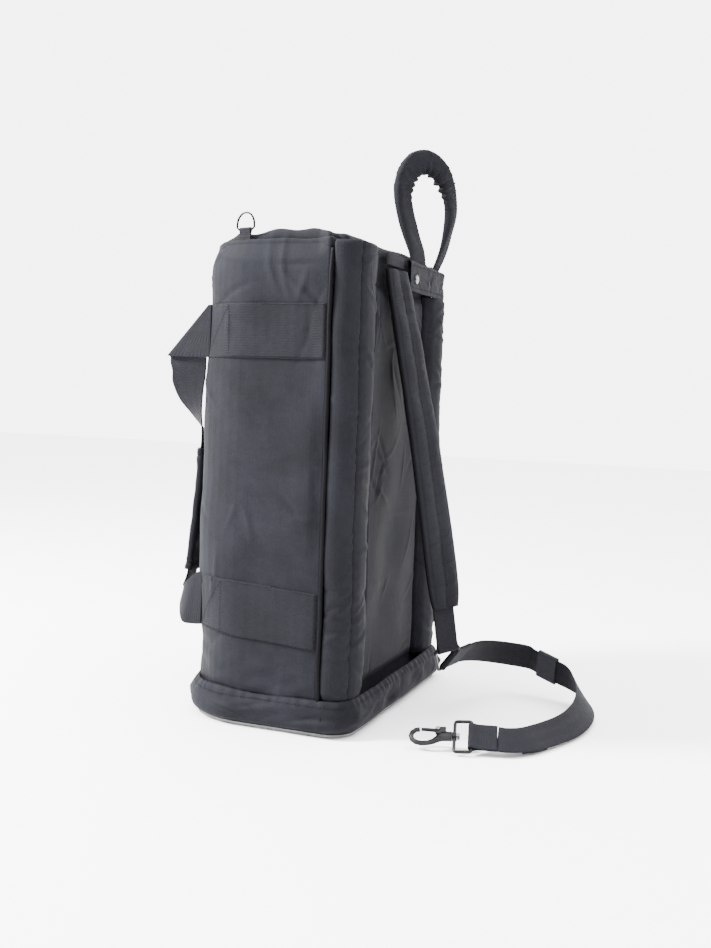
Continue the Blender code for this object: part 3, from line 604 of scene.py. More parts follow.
def make_rim(edge, normal):
    """Folded tape over the rim, slightly wavy where the collar pulls on it."""
    top = edge.copy()
    top[:, :2] -= normal * CANVAS_THICKNESS / 2
    u = np.arange(len(top)) * BODY_GIRTH / len(top)
    top[:, 2] += 0.0008 + 0.0011 * field(u, 0, 0.06, 21)
    profile = [
        (-0.0022, -0.0105), (-0.0026, -0.004), (-0.0022, 0.0004), (-0.001, 0.0018), (0.001, 0.0018),
        (0.0024, 0.0004), (0.0028, -0.004), (0.0026, -0.01),
    ]
    rings = []
    for inward, rise in profile:
        ring = top.copy()
        ring[:, :2] -= normal * inward
        ring[:, 2] += rise
        rings.append(ring)
    tape = surface("rim_tape", np.array(rings), CANVAS, "bag", closed=True)
    stand_in(tape, "webbing", "rim_binding")


def make_collar(top, normal):
    """Gathered cloth that stands a little above the rim, folds over, and is drawn in by its cord."""
    count = len(normal)
    u = np.arange(count) * BODY_GIRTH / count
    centre = np.array((0.0, 0.03))
    towards = centre - top[:, :2]
    towards[:, 0] = np.sign(towards[:, 0]) * np.maximum(np.abs(top[:, 0]) - 0.125, 0)
    towards[:, 1] = np.sign(towards[:, 1]) * np.maximum(np.abs(top[:, 1] - centre[1]) - 0.05, 0)
    reach = np.linalg.norm(towards, axis=1, keepdims=True)
    inward = towards / np.maximum(reach, 1e-6)
    fine = np.sin(math.tau * u / 0.03 + 3.0 * field(u, 0, 0.09, 32))
    humps = field(u, 0, 0.14, 33)
    near = ramp(-top[:, 0], 0.13, 0.19)
    y = top[:, 1]
    two_humps = near * (bump(y, 0.02, 0.026) + 0.9 * bump(y, -0.034, 0.028) + 0.7 * bump(y, 0.082, 0.016))
    profile = [
        (0.006, -0.07, 0.0), (0.006, -0.03, 0.1), (0.007, -0.008, 0.3), (0.0085, 0.0035, 0.7),
        (0.014, 0.0085, 1.0), (0.024, 0.009, 1.0), (0.034, 0.005, 0.9), (0.044, -0.001, 0.7),
        (0.052, -0.007, 0.5), (0.057, -0.012, 0.3),
    ]
    stations = spline(profile, 34)
    rings = []
    for distance, rise, loose in stations:
        share = min(distance / 0.058, 1.0)
        ring = top.copy()
        ring[:, :2] += inward * np.minimum(distance, 0.006 + (reach - 0.006) * share)
        gathers = 0.0008 * fine * ramp(distance, 0.015, 0.04)
        ring[:, 2] = RIM_Z + (rise + loose * (gathers + 0.0014 * humps + 0.0085 * two_humps))
        rings.append(ring)
    outer_skin = np.array(rings)
    inner_skin = outer_skin[::-1].copy()
    inner_skin[..., 2] -= 0.0012
    inner_skin[-8:, :, :2] += inward * 0.0012
    cloth = surface("collar_cloth", np.concatenate([outer_skin, inner_skin]), CANVAS, "bag", closed=True)
    stand_in(cloth, "canvas", "storm_collar")


# ---------------------------------------------------------------- boot

def make_boot():
    near = [(-BOOT_HALF, BOOT_FRONT_Y, 0.105), (-BOOT_HALF, BOOT_BACK_Y, 0.037)]
    corners = near + [(-x, y, radius) for x, y, radius in reversed(near)]
    count = 420
    line = evenly(rounded_polygon(corners, 12), count, closed=True)
    normal = outward_normals(line, (0, 0))
    u = np.arange(count) * 1.25 / count
    profile = [
        (0.012, 0.004), (0.006, 0.0042), (-0.0005, 0.0058), (-0.0052, 0.01), (-0.0072, 0.0165),
        (-0.0064, 0.024), (-0.004, 0.033), (-0.0006, 0.041), (0.0026, 0.0455), (0.006, 0.0455),
        (0.0075, 0.04), (0.008, 0.03),
    ]
    rings = []
    for inset, z in smooth_profile(profile, 46):
        loose = float(bump(z, 0.026, 0.016))
        pressed = 0.0016 * strokes(u, z, 1.25, 0.045, 70, 42, (-0.5, 0.5))
        wrinkle = loose * (0.0018 * field(u, z * 3, 0.07, 41) + pressed)
        pleats = np.sin(math.tau * u / 0.017 + 2 * field(u, 0, 0.05, 43))
        gather = 0.0007 * float(ramp(z, 0.03, 0.044)) * pleats
        top_wave = float(ramp(z, 0.03, 0.044)) * 0.0014 * field(u, 0, 0.12, 44)
        ring = np.column_stack([line - normal * (inset - wrinkle - gather)[:, None], z + top_wave])
        rings.append(ring)
    boot = surface("boot_cloth", np.array(rings), CANVAS, "bag", closed=True)
    stand_in(boot, "canvas", "boot_band")
    tree = finder(boot)
    seam_x = -BOOT_HALF + 0.003
    seam = np.array([(seam_x, -0.078, z) for z in np.linspace(0.004, 0.042, 12)])
    stitches("boot_seam", tree, [seam], "bag", pitch=0.003)
    top = np.column_stack([line, np.full(count, 0.0385)])
    stitches("boot_top_stitching", tree, [np.vstack([top, top[:1]])], "bag")


# ---------------------------------------------------------------- back

def pad_line(count):
    """Plan of the far pad's outer face, from the corner seam round to its inner edge and the panel."""
    corners = [
        (OUTER_SIDE_X - 0.006, SEAM_Y - 0.0045, 0.001), (OUTER_SIDE_X, SEAM_Y - 0.0045, 0.0045),
        (OUTER_SIDE_X, OUTER_BACK_Y, PAD_RADIUS), (PAD_INNER_X, OUTER_BACK_Y, 0.018),
        (PAD_INNER_X, BACK_Y - 0.001, 0.001), (OUTER_SIDE_X - 0.03, BACK_Y - 0.001, 0.001),
    ]
    points = rounded_polygon(corners, 12)
    first = int(np.argmin(np.abs(points[:, 0] - (OUTER_SIDE_X - 0.006)) + np.abs(points[:, 1] - SEAM_Y)))
    points = np.roll(points, -first, axis=0)
    end = int(np.argmin(np.linalg.norm(points - np.array((PAD_INNER_X, BACK_Y - 0.001)), axis=1)))
    return evenly(points[:end + 1], count)


def make_back_pad(name, side):
    """A foam pad under canvas, with a stitched channel up its rounded corner."""
    count = 110
    line = pad_line(count)
    travel = unit(np.gradient(line, axis=0))
    normal = np.stack([-travel[:, 1], travel[:, 0]], axis=1)
    inside = np.array((0.15, -0.085))
    normal *= np.sign(((line - inside) * normal).sum(axis=1, keepdims=True) + 1e-9)
    s = distance_along(line)
    on_corner = np.abs(line[:, 0] - PAD_STITCH_X) + 10 * (line[:, 1] > -0.095)
    stitch_at = s[int(np.argmin(on_corner))]
    seed = 50 if side < 0 else 60
    top = HEM_TOP_Z + 0.005 if side < 0 else PAD_TOP_Z
    heights = np.concatenate([[PAD_BOTTOM_Z], np.linspace(PAD_BOTTOM_Z + 0.002, top - 0.002, 200), [top]])
    rows = []
    for z in heights:
        ends = float(ramp(z, PAD_BOTTOM_Z, PAD_BOTTOM_Z + 0.012) * (1 - ramp(z, top - 0.005, top + 0.002)))
        puff = 0.0026 * np.sin(np.clip(s / stitch_at, 0, 1) * math.pi)
        puff += 0.0022 * np.sin(np.clip((s - stitch_at) / 0.06, 0, 1) * math.pi)
        pull = bump(s, stitch_at, 0.01)
        pucker = -0.0008 * pull * (1 + field(z, 0, 0.012, seed + 1))
        groove = -0.0016 * bump(s, stitch_at, 0.0022)
        folds = 0.0014 * strokes(s, z, 0.15, 0.65, 60, seed + 2, (-0.7, 0.7)) * (1 - bump(s, 0, 0.006))
        drape = 0.0012 * field(s, z, 0.1, seed + 3)
        tuck = -0.008 * ramp(s, s[-1] - 0.055, s[-1] - 0.01) * (1 - 0.5 * ramp(z, 0.5, 0.62))
        tuck = tuck + 0.0013 * bump(s * 0.55 + z * 0.83, 0.61, 0.0035) * ramp(z, 0.53, 0.57)
        offset = ends * (puff + folds + drape) + pucker + groove + tuck * (line[:, 1] < -0.1)
        offset = offset - 0.0018 * (1 - ends)
        place = line + normal * offset[:, None]
        place[:, 0] *= side
        rows.append(np.column_stack([place, np.full(count, z)]))
    grid = np.array(rows)
    pad = surface(f"{name}_pad_cover", grid, PADDING, "bag")
    stand_in(pad, "padding", f"{name}_back_pad", *(("near_back_hem",) if side < 0 else ()))
    tree = finder(pad)
    column = int(np.argmin(np.abs(s - stitch_at)))
    stitches(f"{name}_pad_stitching", tree, [grid[3:-3, column]], "bag")


def hem_line(start_x, count):
    half = 0.0035
    y = OUTER_BACK_Y + half
    radius = PAD_RADIUS - half
    centre = np.array((OUTER_SIDE_X - PAD_RADIUS, OUTER_BACK_Y + PAD_RADIUS))
    arc = np.radians(np.linspace(-90, -5, 12))
    turn = centre + np.stack([np.cos(arc), np.sin(arc)], axis=1) * radius
    return evenly(np.vstack([[(start_x, y)], turn]), count)


def make_far_hem():
    """The folded and stitched canvas strip along the far part of the back's top."""
    count = 120
    line = hem_line(HEM_START_X, count)
    travel = unit(np.gradient(line, axis=0))
    outward = np.stack([travel[:, 1], -travel[:, 0]], axis=1)
    s = distance_along(line)
    profile = [
        (-0.003, PAD_TOP_Z + 0.001), (0.0018, PAD_TOP_Z + 0.0002), (0.003, PAD_TOP_Z + 0.003),
        (0.003, 0.616), (0.0032, 0.632), (0.0036, 0.641), (0.0028, HEM_TOP_Z - 0.0006),
        (0.0, HEM_TOP_Z + 0.0006), (-0.003, HEM_TOP_Z - 0.001), (-0.0034, 0.62),
    ]
    rings = []
    for out, z in smooth_profile(profile, 44):
        loose = float(bump(z, 0.625, 0.016))
        pressed = 0.001 * strokes(s, z - 0.6, 0.25, 0.05, 20, 72)
        relief = loose * (0.0009 * field(s, z * 2, 0.06, 71) + pressed)
        place = line + outward * (out + relief)[:, None]
        rings.append(np.column_stack([place, z + 0.0008 * field(s, 0, 0.1, 73)]))
    hem = surface("far_hem_cloth", np.array(rings), CANVAS, "bag")
    stand_in(hem, "canvas", "far_back_hem")
    lines = []
    for z in (0.6105, 0.643):
        place = line + outward * 0.0042
        lines.append(np.column_stack([place, np.full(count, z)]))
    stitches("far_hem_stitching", finder(hem), lines, "bag")


def make_centre_panel():
    columns = 120
    rows = 160
    x = np.linspace(-0.112, 0.112, columns)[None, :]
    z = np.linspace(0.05, 0.6, rows)[:, None]
    edge = np.minimum(ramp(0.112 - np.abs(x), 0, 0.01), ramp(np.minimum(z - 0.05, 0.6 - z), 0, 0.012))
    relief = 0.0014 * field(x, z, 0.14, 81) + 0.0012 * strokes(x + 0.112, z, 0.224, 0.6, 34, 82)
    y = -0.0905 - 0.006 * edge - relief * edge
    grid = np.stack([x + z * 0, y, z + x * 0], axis=2)
    panel = surface("centre_panel_cloth", grid, PADDING, "bag")
    stand_in(panel, "padding", "centre_back_panel")


def make_piping():
    for name, side in (("near", -1), ("far", 1)):
        z = np.linspace(PAD_BOTTOM_Z, 0.642, 140)
        x = side * (OUTER_SIDE_X + 0.0006 - 0.004 * ramp(z, 0.6, 0.65))
        x = x + side * 0.0006 * field(z, 0, 0.12, 91)
        y = SEAM_Y - 0.0016 + 0.0005 * field(z, 0, 0.1, 92)
        cord = tube(f"{name}_piping", np.column_stack([x, y, z]), 0.003, PIPING, "bag")
        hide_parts(f"{name}_corner_piping")


# ---------------------------------------------------------------- side bands and handles

def band_patch(side, z, drop):
    """A grid over a sewn band, from the front corner back to the corner seam, bottom row first."""
    centre = np.array((side * CORNER_X, CORNER_Y))
    turn = np.radians(np.linspace(BAND_TURN, 0, 40))
    arc = centre + np.stack([side * np.cos(turn), np.sin(turn)], axis=1) * (FRONT_RADIUS + 0.002)
    back = np.linspace(CORNER_Y, SEAM_Y + 0.0035, 40)
    flat = np.stack([np.full(40, side * (HALF_LENGTH + 0.002)), back], axis=1)
    line = np.vstack([arc[:-1], flat])
    share = np.concatenate([[0, 0.015], np.linspace(0.03, 0.97, 36), [0.985, 1]])
    rise = np.minimum(share, 1) * BAND_WIDTH - BAND_WIDTH / 2
    slope = -drop * np.linspace(0, 1, len(line)) ** 2
    grid = np.empty((len(share), len(line), 3))
    grid[..., :2] = line
    grid[..., 2] = z + rise[:, None] + slope
    return grid


def make_bands(name, side, tree):
    for level, z, drop in (("upper", UPPER_BAND_Z, 0.0), ("lower", LOWER_BAND_Z + 0.005, 0.01)):
        grid = band_patch(side, z, drop)
        band = laid_on(f"{name}_{level}_webbing", tree, grid, 0.0024, WEBBING, "bag")
        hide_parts(f"{name}_{level}_band")
        end, box, last, top = 1, 24, -2, len(grid) - 3
        steps = np.linspace(0, 1, 20)
        diagonal = np.array([grid[round(2 + (top - 2) * t), round(end + (box - end) * t)] for t in steps])
        rows = [grid[2, end:last], grid[top, end:last], grid[2:top, end], grid[2:top, box], diagonal]
        stitches(f"{name}_{level}_band_stitching", finder(band), rows, "bag")


def handle_edges():
    """Rows of the two edges of the far handle's webbing, as the frame has them."""
    inward_heading = np.array((-HANDLE_HEADING[1], HANDLE_HEADING[0]))

    def beyond(along, z, inward=0.0):
        return (*(HANDLE_START + HANDLE_HEADING * along + inward_heading * inward), z)

    top = UPPER_BAND_Z + HANDLE_WIDTH / 2
    low = UPPER_BAND_Z - HANDLE_WIDTH / 2
    rows = [beyond(-0.0015, top) + beyond(-0.0015, low)]
    rows += [beyond(0.0012 * step, top) + beyond(0.0245 * step, low) for step in range(3)]
    rows += [
        beyond(0.004, top - 0.001) + beyond(0.0725, low + 0.001),
        beyond(0.005, top - 0.0004, 0.0025) + beyond(0.074, low + 0.0014, 0.0025),
        beyond(0.008, top - 0.006, 0.005) + beyond(0.0725, low - 0.001, 0.005),
        beyond(0.0085, 0.53, 0.0052) + beyond(0.0725, 0.486, 0.0056),
        beyond(0.009, 0.5, 0.0056) + beyond(0.07, 0.474, 0.007),
        (0.15, 0.14, 0.472, 0.142, 0.198, 0.458), (0.143, 0.147, 0.446, 0.129, 0.193, 0.434),
        (0.135, 0.153, 0.418, 0.112, 0.181, 0.412), (0.127, 0.156, 0.39, 0.096, 0.168, 0.388),
    ]
    for x, y, z in GRIP_LINE:
        rows.append((x + 0.0169, y - 0.002, z, x - 0.0169, y + 0.002, z))
    rows += [
        (0.135, 0.174, 0.166, 0.098, 0.189, 0.158), (0.149, 0.16, 0.176, 0.131, 0.18, 0.139),
        (0.156, 0.147, 0.185, 0.153, 0.164, 0.119), (0.16, 0.137, 0.192, 0.16, 0.142, 0.118),
        (0.164, 0.1265, 0.194, 0.164, 0.1265, 0.12),
    ]
    return np.array(rows)


GRIP_LINE = [
    (0.1065, 0.1605, 0.366), (0.105, 0.1625, 0.32), (0.104, 0.168, 0.26), (0.104, 0.174, 0.205),
    (0.1045, 0.1765, 0.186), (0.106, 0.179, 0.174),
]


def make_handle(name, side):
    """Free webbing from the upper band to the lower one, gathered in the middle under a padded grip."""
    edges = handle_edges()
    middle = (edges[:, :3] + edges[:, 3:]) / 2
    rows = spline(np.hstack([middle, edges[:, :3] - edges[:, 3:]]), 240)
    mirror = np.array((side, 1, 1))
    centres = rows[:, :3] * mirror
    across = rows[:, 3:6] * mirror
    widths = np.linalg.norm(across, axis=1)
    body = f"{name}_handle"
    hinge = (side * HANDLE_START[0], HANDLE_START[1] - 0.002, HANDLE_HINGE_Z)
    free = (side * HANDLE_START[0], HANDLE_START[1] + 0.014, HANDLE_HINGE_Z)
    strip = webbing_strip(f"{name}_handle_webbing", centres, across, widths, 0.0023,
                          ("bag", body, hinge, free), columns=20, sheared=True)
    stand_in(strip, "webbing", f"{name}_side_handle")
    covered = (rows[:, 2] < 0.3665) & (rows[:, 2] > 0.1855)
    line = spline(np.hstack([centres[covered], across[covered]]), 110)
    share = np.linspace(0, 1, len(line))
    angle = np.arange(40) * math.tau / 40
    sections = []
    for t in share:
        cuff = 1 - 0.1 * (bump(t, 0.06, 0.012) + bump(t, 0.94, 0.012))
        depth = 0.0066 * cuff * (1 + 0.1 * math.sin(t * 21))
        x = squared(np.cos(angle), 0.55) * 0.0225 * cuff
        wrinkle = 0.0007 * field(angle * 0.02, t * 0.18, 0.03, 101)
        y = squared(np.sin(angle), 0.75) * (depth + wrinkle)
        sections.append(np.stack([x, y], axis=1))
    grid = sweep(line[:, :3], line[:, 3:6], np.array(sections))
    grip = surface(f"{name}_grip_cover", grid, PADDING, body, closed=True, caps=True)
    stand_in(grip, "padding", f"{name}_handle_grip")
    rings = [grid[index] for index in (6, len(grid) - 7)]
    stitches(f"{name}_grip_stitching", finder(grip), [np.vstack([ring, ring[:1]]) for ring in rings], body)


# ---------------------------------------------------------------- haul loop

LOOP_ROUTE = [
    (0.084, -0.0945, 0.649, 0.066, 0.006, 0), (0.0815, -0.09, 0.6743, 0.058, 0.01, 2),
    (0.078, -0.079, 0.7073, 0.048, 0.014, 6), (0.0755, -0.07, 0.7436, 0.042, 0.016, 10),
    (0.078, -0.068, 0.7733, 0.04, 0.017, 16), (0.088, -0.073, 0.7975, 0.038, 0.018, 24),
    (0.102, -0.081, 0.8118, 0.038, 0.018, 29), (0.118, -0.091, 0.8162, 0.038, 0.018, 31),
    (0.134, -0.101, 0.8107, 0.038, 0.018, 29), (0.148, -0.11, 0.7953, 0.038, 0.018, 22),
    (0.158, -0.117, 0.7711, 0.036, 0.017, 12), (0.1645, -0.119, 0.7403, 0.034, 0.015, 2),
    (0.1675, -0.113, 0.7073, 0.032, 0.012, -4), (0.168, -0.104, 0.6743, 0.03, 0.008, -2),
    (0.166, -0.0945, 0.649, 0.026, 0.006, 0),
]


def padded_sections(widths, thicknesses, relief):
    """Rounded strap sections. Relief(row, angle, x) gives extra thickness in metres."""
    angle = np.arange(STRAP_COLUMNS) * math.tau / STRAP_COLUMNS
    sections = []
    for index, (width, thickness) in enumerate(zip(widths, thicknesses)):
        x = squared(np.cos(angle), 0.62) * width / 2
        extra = relief(index, angle, x)
        y = squared(np.sin(angle), 0.72) * (thickness / 2) + np.sign(np.sin(angle)) * extra
        sections.append(np.stack([x, y], axis=1))
    return np.array(sections)


def make_haul_loop():
    rows = spline(LOOP_ROUTE, 240)
    centres = rows[:, :3]
    travel = unit(np.gradient(centres, axis=0))
    turn = np.radians(rows[:, 5])
    face = np.stack([-np.sin(turn), -np.cos(turn), np.zeros(len(turn))], axis=1)
    across = np.cross(travel, face)
    along = distance_along(centres)
    bend = ramp(along, 0.09, 0.15) * (1 - ramp(along, along[-1] - 0.15, along[-1] - 0.09))
    pleats = np.sin(math.tau * along / 0.015 + 2.6 * field(along, 0, 0.07, 111))
    pleats = pleats * (0.65 + 0.35 * field(along, 0, 0.03, 113))

    def relief(index, angle, x):
        inner = ramp(x, -0.004, 0.019)
        pleat = pleats[index]
        soft = 0.0009 * field(x, along[index], 0.05, 112)
        wide = 0.0016 * (creases(x * 0.3, along[index], 0.022, 114) - 0.3)
        return bend[index] * (inner * 0.0028 * pleat + wide) + soft * np.abs(np.sin(angle))

    sections = padded_sections(rows[:, 3], rows[:, 4], relief)
    for index in range(len(sections)):
        inner = ramp(sections[index, :, 0], 0.004, 0.019)
        sections[index, :, 0] += bend[index] * inner * 0.0018 * pleats[index]
    grid = sweep(centres, across, sections)
    base = ("bag", "haul_loop", (0.125, -0.0945, 0.65), (0.125, -0.0945, 0.676))
    loop = surface("haul_loop_cover", grid, PADDING, base, closed=True, caps=True)
    stand_in(loop, "padding", "haul_loop")
    lines = [np.vstack([grid[index], grid[index, :1]]) for index in (154, 176)]
    stitches("haul_loop_stitching", finder(loop), lines, "haul_loop", pitch=0.003)
    for name, x, width in (("left", 0.084, 0.068), ("right", 0.166, 0.026)):
        line = np.column_stack([np.full(20, x), np.full(20, -0.094), np.linspace(0.609, 0.647, 20)])
        wide = np.broadcast_to((1.0, 0, 0), line.shape)
        anchor = webbing_strip(f"loop_{name}_anchor_webbing", line, wide, [width] * 20, 0.0046, "bag")
        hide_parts(f"haul_loop_anchor_{name}")


# ---------------------------------------------------------------- shoulder strap

STRAP_STATIONS = [
    (-0.035, -0.1015, 0.6285, 4, 0.072, 0.009), (-0.035, -0.107, 0.6, 5, 0.074, 0.012),
    (-0.035, -0.118, 0.55, 7, 0.075, 0.013), (-0.035, -0.1285, 0.5, 9, 0.075, 0.013),
    (-0.035, -0.14, 0.445, 11, 0.075, 0.013), (-0.035, -0.152, 0.385, 13, 0.075, 0.013),
    (-0.035, -0.163, 0.325, 15, 0.074, 0.013), (-0.035, -0.1735, 0.265, 17, 0.073, 0.013),
    (-0.035, -0.182, 0.215, 20, 0.07, 0.013), (-0.0355, -0.1885, 0.175, 26, 0.06, 0.012),
    (-0.036, -0.1915, 0.153, 33, 0.046, 0.009),
]


def strap_across(degrees):
    angle = np.radians(degrees)
    return np.stack([np.cos(angle), -np.sin(angle), np.zeros(len(angle))], axis=1)


def make_shoulder_strap():
    rows = spline(STRAP_STATIONS, 260)
    centres = rows[:, :3]
    across = strap_across(rows[:, 3])
    along = distance_along(centres)

    def relief(index, angle, x):
        edge = np.abs(x) / (rows[index, 4] / 2)
        half_puff = 0.002 * np.sin(np.clip(edge, 0, 1) * math.pi)
        seam = -0.001 * bump(x, 0, 0.0018)
        wrinkles = 0.0009 * (creases(x * 0.2, along[index], 0.02, 121) - 0.3) * (1 - edge ** 4)
        soft = 0.0008 * field(x, along[index], 0.07, 122)
        return half_puff + seam + wrinkles + soft * (1 - edge ** 4)

    sections = padded_sections(rows[:, 4] - 0.003, rows[:, 5], relief)
    grid = sweep(centres, across, sections)
    root = ("bag", "shoulder_strap", (-0.035, -0.1015, 0.63), (-0.035, -0.105, 0.604))
    pad = surface("shoulder_strap_cover", grid, PADDING, root, closed=True, caps=True)
    stand_in(pad, "padding", "shoulder_strap_pad")
    travel = unit(np.gradient(centres, axis=0))
    side = unit(across - (across * travel).sum(axis=1, keepdims=True) * travel)
    rise = np.cross(travel, side)
    tree = finder(pad)
    lines = []
    for share in (0.0, -0.8, 0.8):
        for face in (-1, 1):
            lines.append(centres + side * share * rows[:, 4:5] / 2 + rise * face * 0.008)
    lines = [line[4:-4] for line in lines]
    stitches("shoulder_strap_stitching", tree, lines, "shoulder_strap", pitch=0.0042)
    for sign, name in ((-1, "near"), (1, "far")):
        edge = centres + side * sign * (rows[:, 4:5] / 2 - 0.003)
        sections = np.stack([strap_section(0.0062, 0.0044, 6)] * len(edge))
        binding = surface(f"strap_{name}_binding", sweep(edge, rise, sections), PIPING, "shoulder_strap",
                          closed=True, caps=True)
    make_strap_ends(centres[-1])


def make_strap_ends(pad_end):
    """The padded root of the strap on the bag, and the webbing that folds round the triangle ring."""
    z = np.linspace(0.652, 0.6345, 24)
    line = np.column_stack([np.full(24, -0.035), -0.0985 + z * 0, z])
    thickness = 0.0056 + 0.0024 * ramp(z, 0.652, 0.644)
    sections = padded_sections(np.full(24, 0.0715), thickness, lambda index, angle, x: x * 0)
    grid = sweep(line, np.broadcast_to((1.0, 0, 0), line.shape), sections)
    root = surface("shoulder_strap_root", grid, PADDING, "bag", closed=True, caps=True)
    stand_in(root, "padding", "shoulder_strap_anchor")
    middle = (RING_A + RING_B) / 2
    bar = unit(RING_B - RING_A)
    up = pad_end - middle
    up = unit(up - bar * np.dot(up, bar))
    length = np.linalg.norm(pad_end - middle) + 0.004
    end = folded_strap("shoulder_strap_end", middle, bar, up, length, 0.034, WEBBING_THICKNESS, RING_WIRE,
                       "shoulder_strap")
    stand_in(end, "webbing", "shoulder_strap_webbing")
    normal = unit(np.cross(bar, up))
    tree = finder(end)
    lines = []
    for face in (-1, 1):
        corners = [middle + up * h + bar * w + normal * face * 0.004 for h, w in
                   ((0.016, -0.013), (0.016, 0.013), (0.04, 0.013), (0.04, -0.013))]
        box = ((0, 1), (1, 2), (2, 3), (3, 0), (0, 2), (1, 3))
        lines += [np.array([corners[a], corners[b]]) for a, b in box]
    stitches("shoulder_strap_box_stitching", tree, lines, "shoulder_strap", pitch=0.0028, length=0.002)


# ---------------------------------------------------------------- sling and hook

SLING_ROUTE = [
    (0.0292, -0.2014, 0.077, 37), (0.052, -0.2065, 0.0755, 33), (0.08, -0.2145, 0.0715, 28),
    (0.107, -0.229, 0.066, 22), (0.13, -0.25, 0.06, 17), (0.143, -0.272, 0.055, 14),
    (0.136, -0.2905, 0.05, 14), (0.125, -0.3195, 0.0425, 14), (0.118, -0.338, 0.037, 16),
    (0.103, -0.354, 0.031, 26), (0.078, -0.368, 0.0255, 36), (0.046, -0.3775, 0.0215, 44),
    (0.012, -0.3805, 0.0185, 49), (-0.025, -0.378, 0.0165, 52), (-0.059, -0.37, 0.0152, 54),
    (-0.09, -0.358, 0.0148, 55), (-0.115, -0.347, 0.015, 55), (-0.135, -0.3375, 0.0158, 55),
    (-0.15, -0.326, 0.017, 55), (-0.1598, -0.3136, 0.0182, 55), (-0.1624, -0.3035, 0.0188, 55),
]


def sling_frame(rows):
    """Places, directions and width directions: the webbing stands on edge and leans inward."""
    centres = rows[:, :3]
    travel = unit(np.gradient(centres, axis=0))
    lean = np.radians(rows[:, 3:4])
    inward = unit(np.stack([travel[:, 1], -travel[:, 0], np.zeros(len(travel))], axis=1))
    return centres, travel, AXIS_Z * np.cos(lean) + inward * np.sin(lean)


def make_sling():
    rows = spline(SLING_ROUTE, 260)
    centres, _, across = sling_frame(rows)
    sling = webbing_strip("sling_strap", centres, across, np.full(len(rows), SLING_WIDTH), 0.0024, "sling")
    stand_in(sling, "webbing", "sling_webbing")
    hook = ("hook_eye", "hook_body", "hook_swivel_post", "hook_gate", "hook_gate_rivet")
    pieces = [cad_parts[node] for node in hook] + make_sling_ends()
    for node in ("triangle_ring", "hook_eye", "hook_body", "hook_gate", "rim_ring"):
        restyle(node, BLACK_METAL)
    for node in ("hook_swivel_post", "hook_gate_rivet", "press_stud_cap", "press_stud_back"):
        restyle(node, STEEL)


def hook_axes():
    """Along the hook and across it."""
    lean = math.radians(55)
    heading = unit(np.array((-0.25, 0.968, 0)))
    inward = np.array((heading[1], -heading[0], 0))
    across = unit(AXIS_Z * math.cos(lean) + inward * math.sin(lean))
    along = heading - AXIS_Z * 0.105
    return unit(along - across * np.dot(along, across)), across


def make_sling_ends():
    """The folds at both ends of the sling, its loose end, and the keeper that slides on it."""
    centres, travel, across = sling_frame(np.array(SLING_ROUTE))
    bar = unit(RING_B - RING_D)
    middle = (RING_B + RING_D) / 2
    away = centres[0] - middle
    plies = unit(away - bar * np.dot(away, bar))
    upper = folded_strap("sling_ring_fold", middle, bar, plies, 0.047, SLING_WIDTH, WEBBING_THICKNESS,
                         RING_WIRE, "sling")
    stand_in(upper, "webbing", "sling_upper_fold")
    _, hook_across = hook_axes()
    back = centres[-1] - EYE
    back = unit(back - hook_across * np.dot(back, hook_across))
    lower = folded_strap("sling_hook_fold", EYE, hook_across, back, 0.0325, SLING_WIDTH,
                         WEBBING_THICKNESS, EYE_WIRE, "sling")
    stand_in(lower, "webbing", "sling_lower_fold")
    tail = []
    for index in range(TAIL_FROM, TAIL_TO):
        under = unit(np.cross(across[index], travel[index]))
        under *= -np.sign(under[2])
        place = centres[index] + under * 0.0028 - across[index] * 0.003
        tail.append(np.concatenate([place, across[index]]))
    rows = spline(tail, 24)
    loose = webbing_strip("sling_loose_end", rows[:, :3], rows[:, 3:], [0.032] * len(rows), 0.0018, "sling")
    stand_in(loose, "webbing", "sling_tail")
    start, end = centres[6], centres[7]
    run = unit(end - start)
    place = (start + end) / 2 + run * np.linspace(-0.0165, 0.0165, 16)[:, None]
    wide = np.broadcast_to(across[6], place.shape)
    outer = np.stack([strap_section(0.0452, 0.0084, 12)] * 16)
    inner = np.stack([strap_section(0.0424, 0.0054, 12)] * 16)
    loops = np.concatenate([sweep(place, wide, outer), sweep(place, wide, inner)[::-1]])
    loops = np.concatenate([loops, loops[:1]])
    keeper = surface("sling_keeper_sleeve", loops, BINDING, "keeper", closed=True)
    stand_in(keeper, "sole_rubber", "sling_keeper")
    return [upper, lower, loose, keeper]


# ---------------------------------------------------------------- the rest

def make_drawcord():
    """The cord round the collar's lip. Both its ends go through the cord lock."""
    front = FRONT_Y - CORD_INSET
    way_in = [(-0.0026, LOCK_Y + by) for by in (-0.026, -0.01, 0.011)]
    way_in += [(-0.006, LOCK_Y + 0.0165), (-0.014, front)]
    round_lip = rounded_polygon(body_corners(CORD_INSET, (0.006, 0.005, 0.007)), 8)
    plan = np.vstack([way_in, round_lip, [(-x, y) for x, y in reversed(way_in)]])
    path = spline(np.column_stack([plan, np.full(len(plan), CORD_Z)]), 420)
    cord = tube("drawcord_braid", path, 0.002, CORD_CLOTH, "bag", normal=AXIS_Z)
    stand_in(cord, "dark_trim", "collar_drawcord")


def make_small_pieces():
    turn = math.radians(RIM_RING_TURN)
    radius = FRONT_RADIUS - RIM_RING_INSET
    bar = (-CORNER_X - math.cos(turn) * radius, CORNER_Y + math.sin(turn) * radius, RIM_RING_Z)
    sideways = (math.sin(turn), math.cos(turn), 0)
    tab = folded_strap("rim_ring_webbing", bar, sideways, (0, 0, -1), 0.034, 0.02, 0.0012, 0.0015, "bag")
    stand_in(tab, "webbing", "rim_ring_tab")
    restyle("cord_lock_body", PLASTIC)
    restyle("cord_lock_button", PLASTIC)
    make_drawcord()
    # The sole's light grey finish is partly a painted reflection of the floor along its bottom edge.
    restyle("sole", SOLE_WITH_PAINTED_REFLECTION)
    restyle("base_board", BOARD)


